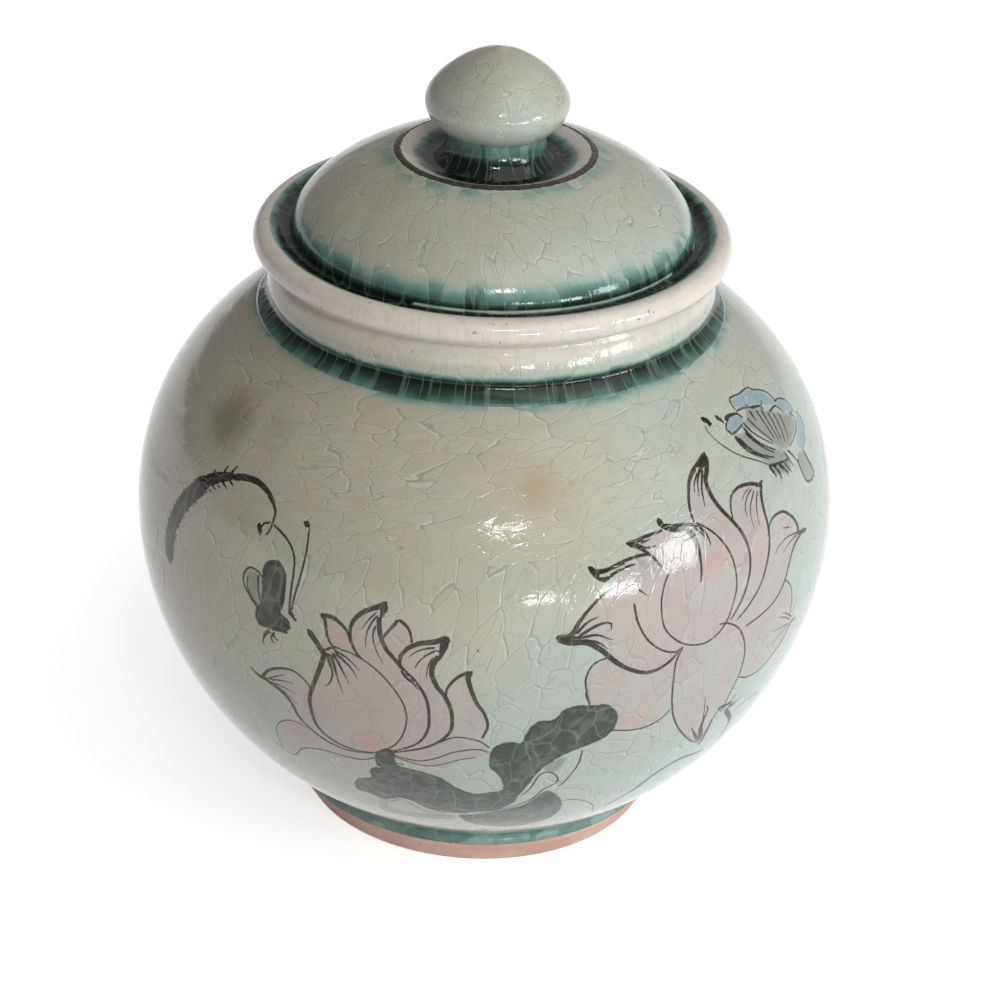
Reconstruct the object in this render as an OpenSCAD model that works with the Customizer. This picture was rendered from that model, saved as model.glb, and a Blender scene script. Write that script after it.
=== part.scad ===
// Lidded storage jar in crackled celadon: a round-bellied pot on a turned foot, with a short beaded
// neck, and a loose domed lid with a rolled brim, a locating ring below and an onion-shaped knob.
// Z is up, the axis of the jar is the Z axis, and the foot stands on z = 0. Millimetres.

/* [Belly] */
// Largest diameter of the belly, outside
belly_d = 150; // [120:1:180]
// Height of the widest level above the seam with the foot ring
belly_low_h = 63.3; // [52:0.1:80]
// Height of the neck seam above the widest level
belly_up_h = 48.7; // [40:0.1:62]
// Slope at which the belly leaves the waist above the foot, in degrees
belly_low_slope = 35.5; // [28:0.5:50]
// Slope at which the shoulder runs in under the neck, in degrees
shoulder_slope = 27.5; // [15:0.5:38]
// Thickness of the thrown wall
wall = 4.5; // [3.5:0.1:6]
// Thickness of the floor
floor_t = 6; // [4.5:0.1:9]

/* [Foot] */
// Diameter of the foot ring at the table, outside
foot_d = 78; // [66:0.5:81]
// Diameter of the foot ring at its seam with the belly, outside
foot_top_d = 83.8; // [82:0.1:92]
// Height of the foot ring, which is the depth of the recess under the floor
foot_h = 6.2; // [4:0.1:10]
// Width of the foot ring's standing face
foot_w = 6; // [4:0.1:9]
// Rounding of the two edges that stand on the table
foot_round = 0.8; // [0.3:0.1:1.5]
// Height of the waist between the foot ring and the belly
waist_h = 3.4; // [2.5:0.1:5]
// Depth of the groove in the waist
waist_depth = 1.2; // [0.5:0.1:1.8]
// How far the belly starts outside the foot ring's upper edge
waist_step = 0.9; // [0.2:0.1:2]

/* [Neck] */
// Outside diameter of the neck at the seam with the shoulder
neck_d = 90.4; // [88:0.1:96]
// Bore of the neck
mouth_d = 81; // [72:0.5:82]
// Height of the neck above its seam
neck_h = 9.8; // [8:0.1:14]
// How far the bead stands out from the neck's seam
bead_out = 1.6; // [0.8:0.1:2.5]
// Rounding of the lip's outer edge
lip_round = 2; // [1:0.1:2.2]
// Rounding of the lip's edge at the bore
lip_bore_round = 1; // [0.4:0.1:1.4]

/* [Lid] */
// Diameter of the lid over its rolled brim
brim_d = 99.9; // [99:0.1:108]
// Height of the rolled brim over the seat
brim_h = 5.7; // [5.4:0.1:7]
// Width of the rolled brim, from its crest line to its outermost line
brim_roll = 2.7; // [2:0.1:3.2]
// Thickness of the lid under the gutter
gutter_web = 4; // [3:0.1:4.5]
// Width of the gutter between the brim's crest and the dome
gutter_w = 5.3; // [4.5:0.1:5.6]
// Height of the dome, from the gutter's floor to the ring around the knob
dome_h = 17.8; // [14:0.1:24]
// Slope of the dome at the ring around the knob, in degrees
dome_slope = 15; // [8:0.5:22]
// Thickness of the lid's dome
lid_t = 4.5; // [3.5:0.1:5.5]
// Clearance between the lid's seat and the lip
seat_gap = 0.2; // [0.1:0.05:0.5]

/* [Well] */
// Diameter of the raised ring around the knob
ring_d = 40.8; // [38:0.1:46]
// Diameter of the well's flat floor
well_floor_d = 27.4; // [26.5:0.1:31]
// Depth of the well's floor below the ring
well_depth = 1.8; // [1:0.1:3]
// Width of the rounded crest of the ring
ring_crest = 1.2; // [0.6:0.1:2]

/* [Locating ring] */
// Radial clearance between the locating ring and the bore of the neck
locate_gap = 1.2; // [0.6:0.1:2]
// How far the locating ring reaches down below the seat
locate_drop = 9; // [6:0.1:12]
// Thickness of the locating ring
locate_t = 3.2; // [2.6:0.1:4.5]
// Rounding of the locating ring's lower edges
locate_round = 1; // [0.4:0.1:1.2]

/* [Knob] */
// Diameter of the knob's bulb
knob_d = 29.9; // [25:0.1:36]
// Diameter of the stem at the crease under the bulb
stem_d = 20.8; // [16:0.1:23]
// Diameter of the stem where it stands in the well
stem_foot_d = 25.2; // [23.5:0.1:26]
// Height of the stem, from the well's floor to the crease
stem_h = 6.2; // [4:0.1:9]
// Height of the bulb between the crease and its widest level
bulb_low_h = 6.4; // [5:0.1:9]
// Height of the bulb above its widest level, without the tip
bulb_up_h = 10.9; // [8:0.1:15]
// Height of the drawn-up tip
tip_h = 0.8; // [0.4:0.1:2]

/* [Hidden] */
// Facets of a full turn, and steps of a long and a short curve
TURN = 180;
LONG = 26;
SHORT = 8;
// Shares of a curve's height that its end tangents reach over
LOW_FOOT_PULL = 0.345;
LOW_BELLY_PULL = 0.44;
UP_BELLY_PULL = 0.53;
UP_NECK_PULL = 0.325;
DOME_EDGE_PULL = 0.47;
DOME_RING_PULL = 0.48;

// Levels, from the table up
waist_z = foot_h + waist_h;
belly_z = foot_h + belly_low_h;
neck_z = belly_z + belly_up_h;
lip_z = neck_z + neck_h;
seat_z = lip_z + seat_gap;
gutter_z = seat_z + gutter_web;
ring_z = gutter_z + dome_h;
well_z = ring_z - well_depth;
stem_z = well_z + stem_h;
bulb_z = stem_z + bulb_low_h;
floor_z = foot_h + floor_t;

// Radii that several pieces share
foot_bore_r = foot_d / 2 - foot_w;
foot_top_r = foot_top_d / 2;
belly_foot_r = foot_top_r + waist_step;
neck_r = neck_d / 2;
mouth_r = mouth_d / 2;
crest_r = brim_d / 2 - brim_roll;
dome_r = crest_r - gutter_w;
locate_r = mouth_r - locate_gap;
hollow_r = locate_r - locate_t;
ring_r = ring_d / 2;
well_floor_r = well_floor_d / 2;

// A point at a given distance from another, in the direction of an angle
function along(p, angle, length) = p + length * [cos(angle), sin(angle)];

// Points of a Bezier curve from a to d with the handles b and c
function bezier(a, b, c, d, steps) = [
    for (i = [0:steps]) let (t = i / steps, s = 1 - t)
        s * s * s * a + 3 * s * s * t * b + 3 * s * t * t * c + t * t * t * d
];

// Points of an arc about a centre, from one angle to another
function arc(centre, r, from, to, steps) = [
    for (i = [0:steps]) along(centre, from + (to - from) * i / steps, r)
];

// A path moved to its left by a distance
function shifted(path, distance) = let (last = len(path) - 1) [
    for (i = [0:last])
        let (d = path[min(i + 1, last)] - path[max(i - 1, 0)])
        path[i] + distance * [-d[1], d[0]] / norm(d)
];

// A path from its last point to its first
function reversed(path) = [for (i = [len(path) - 1:-1:0]) path[i]];

// The outside of the belly, from the waist up to the neck
belly_low = bezier(
    [belly_foot_r, waist_z],
    along([belly_foot_r, waist_z], belly_low_slope, LOW_FOOT_PULL * (belly_z - waist_z)),
    [belly_d / 2, belly_z - LOW_BELLY_PULL * (belly_z - waist_z)],
    [belly_d / 2, belly_z], LONG);
belly_up = bezier(
    [belly_d / 2, belly_z],
    [belly_d / 2, belly_z + UP_BELLY_PULL * belly_up_h],
    along([neck_r, neck_z], -shoulder_slope, UP_NECK_PULL * belly_up_h),
    [neck_r, neck_z], LONG);

// The groove of the waist, from the foot ring up to the belly
waist = bezier(
    [foot_top_r, foot_h],
    [foot_top_r - waist_depth, foot_h + 0.3 * waist_h],
    [foot_top_r - waist_depth, foot_h + 0.7 * waist_h],
    [belly_foot_r, waist_z], SHORT);

// The top of the lid's dome, from the gutter up to the ring around the knob
dome = bezier(
    [dome_r, gutter_z + 0.04 * dome_h],
    [dome_r, gutter_z + DOME_EDGE_PULL * dome_h],
    along([ring_r, ring_z], -dome_slope, DOME_RING_PULL * dome_h),
    [ring_r, ring_z], LONG);

module turned(outline) {
    rotate_extrude($fn = TURN) polygon(outline);
}

// The thrown pot without its neck and foot ring: one wall from the floor to the shoulder's seam
module jar_wall() {
    outside = concat(waist, belly_low, belly_up);
    inside = [
        for (p = reversed(shifted(concat(belly_low, belly_up), wall)))
            if (p[0] > mouth_r + 0.3 && p[1] > floor_z + 0.3 && p[1] < neck_z - 0.3) p
    ];
    color([0.62, 0.69, 0.62])
        turned(concat([[0, foot_h]], outside, [[mouth_r, neck_z]], inside,
            [[inside[len(inside) - 1][0] - wall / 2, floor_z], [0, floor_z]]));
}

// The bare clay ring that the jar stands on, luted to the underside and trimmed to a taper
module foot_ring() {
    outer = along([foot_d / 2 - foot_round, foot_round], -90, 0);
    inner = [foot_bore_r + foot_round, foot_round];
    color([0.85, 0.66, 0.57])
        turned(concat(
            arc(inner, foot_round, 180, 270, SHORT),
            arc(outer, foot_round, 270, 360, SHORT),
            [[foot_top_r, foot_h], [foot_bore_r, foot_h]]));
}

// The neck, thrown as a ring: a bead below, and a rounded lip that the lid sits on
module neck_collar() {
    lip_r = neck_r + 0.2 * bead_out;
    color([0.82, 0.79, 0.75])
        turned(concat(
            bezier([neck_r, neck_z],
                [neck_r + 1.4 * bead_out, neck_z + 0.1 * neck_h],
                [neck_r + 1.2 * bead_out, neck_z + 0.55 * neck_h],
                [lip_r, lip_z - lip_round], 2 * SHORT),
            arc([lip_r - lip_round, lip_z - lip_round], lip_round, 0, 90, SHORT),
            arc([mouth_r + lip_bore_round, lip_z - lip_bore_round], lip_bore_round, 90, 180, SHORT),
            [[mouth_r, neck_z]]));
}

// The lid: a rolled brim, a gutter that catches the glaze, a dome, and a well for the knob
module lid_dome() {
    brim_mid_z = seat_z + 0.5 * brim_h;
    brim_top_z = seat_z + brim_h;
    brim_r = brim_d / 2;
    brim_out = concat(
        bezier([crest_r, seat_z], [crest_r + 0.6 * brim_roll, seat_z],
            [brim_r, brim_mid_z - 0.25 * brim_h], [brim_r, brim_mid_z], SHORT),
        bezier([brim_r, brim_mid_z], [brim_r, brim_mid_z + 0.25 * brim_h],
            [crest_r + 0.6 * brim_roll, brim_top_z], [crest_r, brim_top_z], SHORT));
    gutter = bezier([crest_r, brim_top_z], [crest_r - 0.45 * gutter_w, brim_top_z],
        [dome_r + 0.55 * gutter_w, gutter_z], [dome_r + 0.2 * gutter_w, gutter_z], SHORT);
    crest_in_r = ring_r - ring_crest;
    well = bezier([crest_in_r, ring_z], [crest_in_r - 2.2, ring_z - 0.3 * well_depth],
        [well_floor_r + 2.2, well_z], [well_floor_r, well_z], SHORT);
    hollow_z = well_z - lid_t;
    hollow = [
        for (p = shifted(dome, lid_t))
            if (p[0] < hollow_r - 0.2 && p[1] > seat_z && p[1] < hollow_z + 3) p
    ];
    color([0.66, 0.70, 0.63])
        turned(concat([[hollow_r, seat_z]], brim_out, gutter, dome,
            [[ring_r - ring_crest / 2, ring_z + 0.25]], well, [[0, well_z], [0, hollow_z],
            [well_floor_r, hollow_z]], reversed(hollow)));
}

// The ring under the lid that keeps it centred in the neck
module locating_ring() {
    low_z = seat_z - locate_drop;
    color([0.80, 0.72, 0.64])
        turned(concat(
            arc([hollow_r + locate_round, low_z + locate_round], locate_round, 180, 270, SHORT),
            arc([locate_r - locate_round, low_z + locate_round], locate_round, 270, 360, SHORT),
            [[locate_r, seat_z], [hollow_r, seat_z]]));
}

// The knob: a flared stem, an onion-shaped bulb and a drawn-up tip
module knob() {
    stem_r = stem_d / 2;
    knob_r = knob_d / 2;
    shoulder_z = bulb_z + bulb_up_h;
    crease_angle = acos(stem_r / knob_r);
    bulb_low = [
        for (i = [0:2 * SHORT]) let (a = -crease_angle * (1 - i / (2 * SHORT)))
            [knob_r * cos(a), bulb_z + bulb_low_h * sin(a) / sin(crease_angle)]
    ];
    color([0.63, 0.68, 0.63])
        turned(concat([[0, well_z]],
            bezier([stem_foot_d / 2, well_z], [stem_foot_d / 2 - 1.4, well_z + 0.2 * stem_h],
                [stem_r, stem_z - 0.55 * stem_h], [stem_r, stem_z], SHORT),
            bulb_low,
            bezier([knob_r, bulb_z], [knob_r, bulb_z + 0.36 * bulb_up_h],
                [0.52 * knob_r, shoulder_z - 0.1 * bulb_up_h],
                [0.16 * knob_r, shoulder_z], 2 * SHORT),
            bezier([0.16 * knob_r, shoulder_z], [0.1 * knob_r, shoulder_z + 0.4 * tip_h],
                [0.05 * knob_r, shoulder_z + tip_h], [0, shoulder_z + tip_h], SHORT)));
}

jar_wall();
foot_ring();
neck_collar();
lid_dome();
locating_ring();
knob();
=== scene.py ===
import bmesh
import bpy
import math
import numpy as np
from mathutils import Matrix, Vector


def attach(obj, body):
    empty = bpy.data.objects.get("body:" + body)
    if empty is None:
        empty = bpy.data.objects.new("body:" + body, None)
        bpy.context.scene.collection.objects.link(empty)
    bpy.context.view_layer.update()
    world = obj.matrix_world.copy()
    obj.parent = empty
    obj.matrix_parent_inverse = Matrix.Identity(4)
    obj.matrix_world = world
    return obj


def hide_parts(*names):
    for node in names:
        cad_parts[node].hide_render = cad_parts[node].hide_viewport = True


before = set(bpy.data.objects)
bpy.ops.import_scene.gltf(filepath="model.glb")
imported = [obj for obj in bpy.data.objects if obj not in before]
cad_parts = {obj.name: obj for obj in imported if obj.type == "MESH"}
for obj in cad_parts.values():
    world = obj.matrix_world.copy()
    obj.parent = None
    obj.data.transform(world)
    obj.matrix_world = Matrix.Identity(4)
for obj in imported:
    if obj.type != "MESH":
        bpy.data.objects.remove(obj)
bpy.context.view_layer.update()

# Foot ring
# The ring of bare stoneware that the jar stands on. The potter throws it thick, trims it on the
# wheel, and wipes it clean of glaze so that it doesn't stick to the kiln shelf.


def curve(a, b, c, d, steps):
    """Points of a Bezier curve from a to d with the handles b and c, in millimetres."""
    a, b, c, d = (np.array(p, float) for p in (a, b, c, d))
    t = np.linspace(0, 1, steps + 1)[:, None]
    s = 1 - t
    return s**3 * a + 3 * s**2 * t * b + 3 * s * t**2 * c + t**3 * d


def round_edge(centre, radius, start, end, steps=6):
    """Points of an arc about a centre, from one angle in degrees to another."""
    turn = np.radians(np.linspace(start, end, steps + 1))
    return np.array(centre, float) + radius * np.stack([np.cos(turn), np.sin(turn)], 1)


def join(*parts):
    """One outline from several, with doubled points left out."""
    points = np.vstack([np.array(p, float).reshape(-1, 2) for p in parts])
    keep = np.r_[True, np.hypot(*np.diff(points, axis=0).T) > 1e-4]
    return points[keep]


def even(outline, step):
    """The same outline with points at an even step in millimetres, kept at its corners."""
    way = np.diff(outline, axis=0)
    angle = np.degrees(np.arctan2(way[:, 1], way[:, 0]))
    bend = np.abs((np.diff(angle) + 180) % 360 - 180)
    stops = [0] + [i + 1 for i in np.nonzero(bend > 25)[0]] + [len(outline) - 1]
    run = np.r_[0, np.cumsum(np.hypot(*way.T))]
    spots = []
    for a, b in zip(stops[:-1], stops[1:]):
        count = max(1, int(round((run[b] - run[a]) / step)))
        spots.extend(np.linspace(run[a], run[b], count, endpoint=False))
    spots.append(run[-1])
    return np.stack([np.interp(spots, run, outline[:, i]) for i in (0, 1)], 1)


def hand_wobble(azimuth, height):
    """How far a thrown wall strays from round, in millimetres: slow waves and faint throwing lines."""
    waves = 0.10 * np.sin(2 * azimuth + 0.7 + 0.02 * height)
    waves += 0.05 * np.sin(3 * azimuth - 1.1 + 0.05 * height)
    waves += 0.03 * np.sin(5 * azimuth + 0.11 * height)
    waves += 0.02 * np.sin(0.9 * height + azimuth)
    kept_inside = 0.16
    return waves - kept_inside


def thrown(name, outline, around):
    """A turned mesh from an outline of (radius, height) in millimetres, uneven as hand-thrown clay is."""
    outline = np.array(outline, float)
    azimuth = np.linspace(0, 2 * math.pi, around, endpoint=False)
    r, a = np.meshgrid(outline[:, 0], azimuth, indexing="ij")
    z = np.repeat(outline[:, 1][:, None], around, 1)
    r = r + hand_wobble(a, z) * np.clip(r / 20, 0, 1)
    points = (np.stack([r * np.sin(a), -r * np.cos(a), z], -1) / 1000).reshape(-1, 3)
    index = np.arange(r.size).reshape(r.shape)
    for row in (0, -1):
        if outline[row, 0] < 0.01:
            index[row] = index[row, 0]
    beside = np.roll(index, -1, 1)
    quads = np.stack([index[:-1], beside[:-1], beside[1:], index[1:]], -1).reshape(-1, 4)
    faces = [list(dict.fromkeys(q)) for q in quads.tolist()]
    mesh = bpy.data.meshes.new(name)
    mesh.from_pydata(points.tolist(), [], faces)
    work = bmesh.new()
    work.from_mesh(mesh)
    loose = [v for v in work.verts if not v.link_faces]
    bmesh.ops.delete(work, geom=loose, context="VERTS")
    bmesh.ops.recalc_face_normals(work, faces=work.faces)
    work.to_mesh(mesh)
    work.free()
    mesh.polygons.foreach_set("use_smooth", [True] * len(mesh.polygons))
    piece = bpy.data.objects.new(name, mesh)
    bpy.context.scene.collection.objects.link(piece)
    return piece


def srgb(red, green, blue):
    """A colour given from 0 to 255, as the shader wants it."""
    c = np.array([red, green, blue]) / 255
    c = np.where(c <= 0.04045, c / 12.92, ((c + 0.055) / 1.055) ** 2.4)
    return (*c, 1.0)


class Wire:
    """One value in a material, so that a sum of values is written with + - and *."""

    def __init__(self, recipe, socket):
        self.recipe = recipe
        self.socket = socket

    def __add__(self, other):
        return self.recipe.math("ADD", self, other)

    def __sub__(self, other):
        return self.recipe.math("SUBTRACT", self, other)

    def __rsub__(self, other):
        return self.recipe.math("SUBTRACT", other, self)

    def __mul__(self, other):
        return self.recipe.math("MULTIPLY", self, other)

    def __abs__(self):
        return self.recipe.math("ABSOLUTE", self)


class Recipe:
    """A material put together from nodes. Each input takes a number, a colour or a Wire."""

    def __init__(self, name):
        self.material = bpy.data.materials.new(name)
        self.material.use_nodes = True
        self.tree = self.material.node_tree
        where = self.put("ShaderNodeTexCoord", {}, {}, "Object")
        self.mm = self.vector("SCALE", where, 1000.0)

    def plug(self, node, inputs):
        for key, value in inputs.items():
            if isinstance(value, Wire):
                self.tree.links.new(value.socket, node.inputs[key])
            else:
                node.inputs[key].default_value = value

    def put(self, kind, settings, inputs, out=0):
        node = self.tree.nodes.new(kind)
        for key, value in settings.items():
            setattr(node, key, value)
        self.plug(node, inputs)
        return Wire(self, node.outputs[out])

    def math(self, operation, *values):
        return self.put("ShaderNodeMath", {"operation": operation}, dict(enumerate(values)))

    def vector(self, operation, first, second):
        out = "Value" if operation == "DOT_PRODUCT" else "Vector"
        inputs = {0: first, "Scale" if operation == "SCALE" else 1: second}
        return self.put("ShaderNodeVectorMath", {"operation": operation}, inputs, out)

    def read(self, name, out="Fac"):
        return self.put("ShaderNodeAttribute", {"attribute_name": name}, {}, out)

    def noise(self, at, size, detail=3.0, rough=0.55, out="Fac"):
        inputs = {"Vector": at, "Scale": 1.0 / size, "Detail": detail, "Roughness": rough}
        return self.put("ShaderNodeTexNoise", {}, inputs, out)

    def step(self, value, low, high, to_low=0.0, to_high=1.0, kind="SMOOTHSTEP"):
        inputs = {0: value, 1: low, 2: high, 3: to_low, 4: to_high}
        return self.put("ShaderNodeMapRange", {"interpolation_type": kind}, inputs)

    def mix(self, share, first, second):
        return self.put("ShaderNodeMix", {"data_type": "RGBA"}, {0: share, 6: first, 7: second}, 2)

    def bump(self, height, depth):
        inputs = {"Height": height, "Distance": depth, "Strength": 1.0}
        return self.put("ShaderNodeBump", {}, inputs, "Normal")

    def feed(self, **inputs):
        inputs = {key.replace("_", " "): value for key, value in inputs.items()}
        self.plug(self.tree.nodes["Principled BSDF"], inputs)


def bare_clay(name, pale, dark):
    """Unglazed stoneware: sandy, flecked with iron, with fine wheel lines and a matt skin."""
    r = Recipe(name)
    grain = r.noise(r.mm, 0.5, 4.0, 0.7)
    body = r.mix(r.step(r.noise(r.mm, 14.0), 0.3, 0.7), pale, dark)
    body = r.mix(r.step(grain, 0.4, 0.75, 0.0, 0.3), body, srgb(168, 122, 100))
    body = r.mix(r.step(r.noise(r.mm, 0.9, 2.0), 0.70, 0.76, 0.0, 0.75), body, srgb(70, 45, 35))
    height = r.put("ShaderNodeSeparateXYZ", {}, {0: r.mm}, 2)
    wheel_lines = r.math("SINE", height * 9.0) * 0.15
    r.feed(Base_Color=body, Roughness=r.step(grain, 0.2, 0.8, 0.72, 0.9))
    r.feed(Normal=r.bump(wheel_lines + grain, 0.00025))
    return r.material


foot_outline = join(
    [(33.0, 6.2), (33.0, 0.9)],
    round_edge((33.9, 0.9), 0.9, 180, 270),
    round_edge((38.1, 0.9), 0.9, 270, 350),
    [(41.7, 5.4)],
    round_edge((41.1, 5.5), 0.62, 0, 90, 4),
)
foot = thrown("foot_ring_clay", even(foot_outline, 0.7), 300)
foot.data.materials.append(bare_clay("foot_clay", srgb(230, 196, 182), srgb(208, 168, 152)))
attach(foot, "jar")
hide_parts("foot_ring")

# Jar
# The thrown pot: floor, round belly and shoulder in one wall of stoneware 4.5 mm thick. It is painted
# in iron black, pink and blue, and dipped in a celadon glaze that crackles as it cools.
foot_top, waist_top, widest, neck_seam = 6.2, 9.6, 69.5, 118.2
wall = 4.5
belly_low = curve((42.8, waist_top), (59.63, 21.6), (75.0, 43.14), (75.0, widest), 60)
belly_up = curve((75.0, widest), (75.0, 95.31), (59.24, 110.89), (45.2, neck_seam), 60)
waist = curve((41.9, foot_top), (40.7, 7.2), (40.7, 8.6), (42.8, waist_top), 12)
outside = even(join(waist, belly_low, belly_up), 1.1)


def inward(path, depth):
    """The path moved to its left by a depth."""
    way = np.gradient(path, axis=0)
    side = np.stack([-way[:, 1], way[:, 0]], 1)
    return path + depth * side / np.hypot(*side.T)[:, None]


def listed(items, key, wide=1, kind=float):
    """One value, or one row of values, for each of a mesh's points, corners or faces."""
    flat = np.zeros(len(items) * wide, kind)
    items.foreach_get(key, flat)
    return flat.reshape(-1, wide) if wide > 1 else flat


def places(piece):
    """Radius, height and azimuth in degrees of each point of a piece, in millimetres."""
    x, y, z = listed(piece.data.vertices, "co", 3).T * 1000
    return np.hypot(x, y), z, np.degrees(np.arctan2(x, -y))


def mark(piece, name, values):
    """Keeps one number for each point of a piece, for its glaze to read."""
    layer = piece.data.attributes.new(name, "FLOAT", "POINT")
    layer.data.foreach_set("value", np.array(values, np.float32))


inside = inward(join(belly_low, belly_up), wall)
inside = inside[(inside[:, 0] > 40.8) & (inside[:, 1] > 14.5) & (inside[:, 1] < 117)]
inside = even(join([(40.5, neck_seam)], inside[::-1], [(inside[0, 0] - 3.0, 12.4), (0, 12.2)]), 4.0)
under = even(join([(0, foot_top), (41.9, foot_top)]), 3.2)
jar = thrown("jar_body", join(under, outside, inside), 420)

# The glaze is thick where it pools, in the waist and in the crease under the neck
radius, height, azimuth = places(jar)
is_out = radius > np.interp(height, outside[:, 1], outside[:, 0]) - 2.2
crease = np.clip(1 - np.hypot(radius - 45.2, height - neck_seam) / 7.2, 0, 1)
in_waist = 0.52 * np.clip(1.15 - np.abs(height - 8.0) / 2.2, 0, 1) * (height < 13)
# Partly painted shade: the lower belly darkens towards the bottom, partly glaze gathered above the waist
low_pool_and_shade = 0.42 * np.clip(1 - (height - 9) / 9, 0, 1) * (height < 20)
mark(jar, "pool_and_shade", np.where(is_out, np.maximum(np.maximum(crease, in_waist), low_pool_and_shade), 0.1))
mark(jar, "thin", np.where(is_out, 0.0, 0.12))


def crackle_sheet(piece, along, rows):
    """Puts each point on the crackle's sheet. A row is a place and its radius, height and twist there."""
    place, sheet_radius, sheet_height, twist = np.array(rows, float).T
    around = np.radians(places(piece)[2] - np.interp(along, place, twist))
    r = np.interp(along, place, sheet_radius)
    z = np.interp(along, place, sheet_height)
    spot = np.stack([r * np.sin(around), -r * np.cos(around), z], 1)
    layer = piece.data.attributes.new("crackle", "FLOAT_VECTOR", "POINT")
    layer.data.foreach_set("vector", spot.astype(np.float32).ravel())


# On the belly the cracks run up and down, and on the shoulder they lean over and run around
belly_rows = [(0, 26, 0, 0), (15, 44, 6, 0), (70, 75, 25, 6)]
shoulder_rows = [(92, 72, 34, 12), (104, 48, 40, 26), (119, 22, 50, 44)]
crackle_sheet(jar, height, belly_rows + shoulder_rows)


def celadon(name, drawing=None, cooler=0.0):
    """Crackled celadon: grey-green, near black where it pools, and pale over edges where it runs thin."""
    r = Recipe(name)
    middle = (0.5, 0.5, 0.5)
    sheet = r.read("crackle", "Vector")
    swirl = r.vector("SUBTRACT", r.noise(sheet, 11.0, out="Color"), middle)
    sheet = r.vector("ADD", sheet, r.vector("SCALE", swirl, 6.5))

    def cells(at, size, feature, out):
        return r.put("ShaderNodeTexVoronoi", {"feature": feature}, {"Vector": at, "Scale": 1 / size}, out)

    edge = cells(sheet, 4.5, "DISTANCE_TO_EDGE", "Distance")
    # Painted highlight: a copy of the crack lines, shifted a little, where their edges catch the light
    crack_highlight_edge = cells(r.vector("ADD", sheet, (0.08, -0.08, 0.10)), 4.5, "DISTANCE_TO_EDGE", "Distance")
    edge_small = cells(sheet, 2.4, "DISTANCE_TO_EDGE", "Distance")
    tone = cells(sheet, 4.5, "F1", "Color")
    centre = cells(sheet, 4.5, "F1", "Position")
    pick = r.put("ShaderNodeSeparateColor", {}, {0: tone}, 0)
    pick_two = r.put("ShaderNodeSeparateColor", {}, {0: tone}, 1)
    # A crack fades in and out along its length, as the stain in it does
    seen = r.step(r.noise(r.mm, 7.0, 2.0), 0.36, 0.58, 0.45, 1.0)
    crack = r.step(edge, 0.010, 0.040, 1.0, 0.0) * seen
    crack_highlight = r.step(crack_highlight_edge, 0.012, 0.055, 1.0, 0.0) * seen
    hair = r.step(edge_small, 0.0, 0.045, 1.0, 0.0) * r.step(pick_two, 0.55, 0.7)
    # How thick the glaze lies, in small steps from one cell of the crackle to the next
    # On the lower belly this also carries painted shade, darker towards the bottom
    pool_and_shade = r.read("pool_and_shade")
    slope = pool_and_shade * (1.0 - pool_and_shade) * 4.0
    jump = (pick - 0.5) * (slope * 0.30)
    blotch = (r.noise(r.mm, 4.0, 4.0, 0.6) - 0.5) * (slope * 0.5)
    depth = r.step(pool_and_shade + jump + blotch, 0.0, 1.0, kind="LINEAR")
    cloud = r.noise(r.mm, 34.0, 4.0)
    mottle = r.noise(r.mm, 5.0, 4.0, 0.65)
    # Partly painted light: warmer to the upper left and cooler to the lower right, as lamplight would tint
    # it
    tint_and_painted_light = r.vector("DOT_PRODUCT", r.mm, (0.0075, 0.0, -0.0065)) + (0.85 + cooler) + (cloud - 0.5) * 1.6
    # The cloud adds the glaze's own uneven tone, and cooler moves a whole piece to the cool side.
    body = r.mix(r.step(tint_and_painted_light, -0.1, 1.1), srgb(176, 169, 152), srgb(164, 180, 174))
    body = r.mix(r.step(mottle, 0.3, 0.75, 0.0, 0.25), body, srgb(150, 158, 146))
    body = r.mix(r.step(r.noise(r.mm, 0.5, 3.0, 0.7), 0.3, 0.8, 0.0, 0.14), body, srgb(120, 126, 116))
    body = r.mix(r.step(pick_two, 0.0, 1.0, 0.0, 0.10), body, srgb(200, 204, 198))
    # Painted highlight along the cracks' edges
    body = r.mix(crack_highlight * 0.26, body, srgb(222, 224, 214))
    body = r.mix(crack * 0.36, body, srgb(98, 100, 90))
    body = r.mix(hair * 0.14, body, srgb(110, 116, 106))
    # The pale clay shows through a thin glaze, with rusty specks
    thin = r.read("thin")
    rim = r.mix(r.noise(r.mm, 8.0), srgb(222, 210, 198), srgb(198, 197, 192))
    rim = r.mix(r.step(r.noise(r.mm, 3.0, 4.0, 0.7), 0.45, 0.7, 0.0, 0.4), rim, srgb(190, 182, 170))
    thin_now = thin + (r.noise(r.mm, 1.3, 4.0) - 0.5) * 0.5
    rust = r.step(r.noise(r.mm, 1.7), 0.66, 0.74, 0.0, 0.6)
    bare = r.step(thin_now, 0.25, 0.7) * r.step(thin, 0.0, 1.0, 0.4, 0.96)
    body = r.mix(bare, body, rim)
    body = r.mix(rust * r.step(thin, 0.6, 0.9), body, srgb(120, 84, 66))
    if drawing:
        body = drawing(r, body)
    # The cracks and their painted highlights show more faintly over the painting
    open_now = 1.0 - bare * 0.6
    body = r.mix(crack_highlight * open_now * 0.11, body, srgb(200, 204, 194))
    body = r.mix(crack * open_now * 0.18, body, srgb(98, 100, 90))
    body = r.mix(hair * open_now * 0.08, body, srgb(110, 116, 106))
    deep = srgb(150, 164, 150)
    deeper = [(122, 152, 142), (78, 114, 106), (40, 60, 48), (14, 24, 17)]
    for low, high, colour in zip((0.0, 0.3, 0.6, 0.85), (0.3, 0.6, 0.85, 1.0), deeper):
        deep = r.mix(r.step(depth, low, high, kind="LINEAR"), deep, srgb(*colour))
    body = r.mix(r.step(depth, 0.03, 0.45), body, deep)
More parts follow.
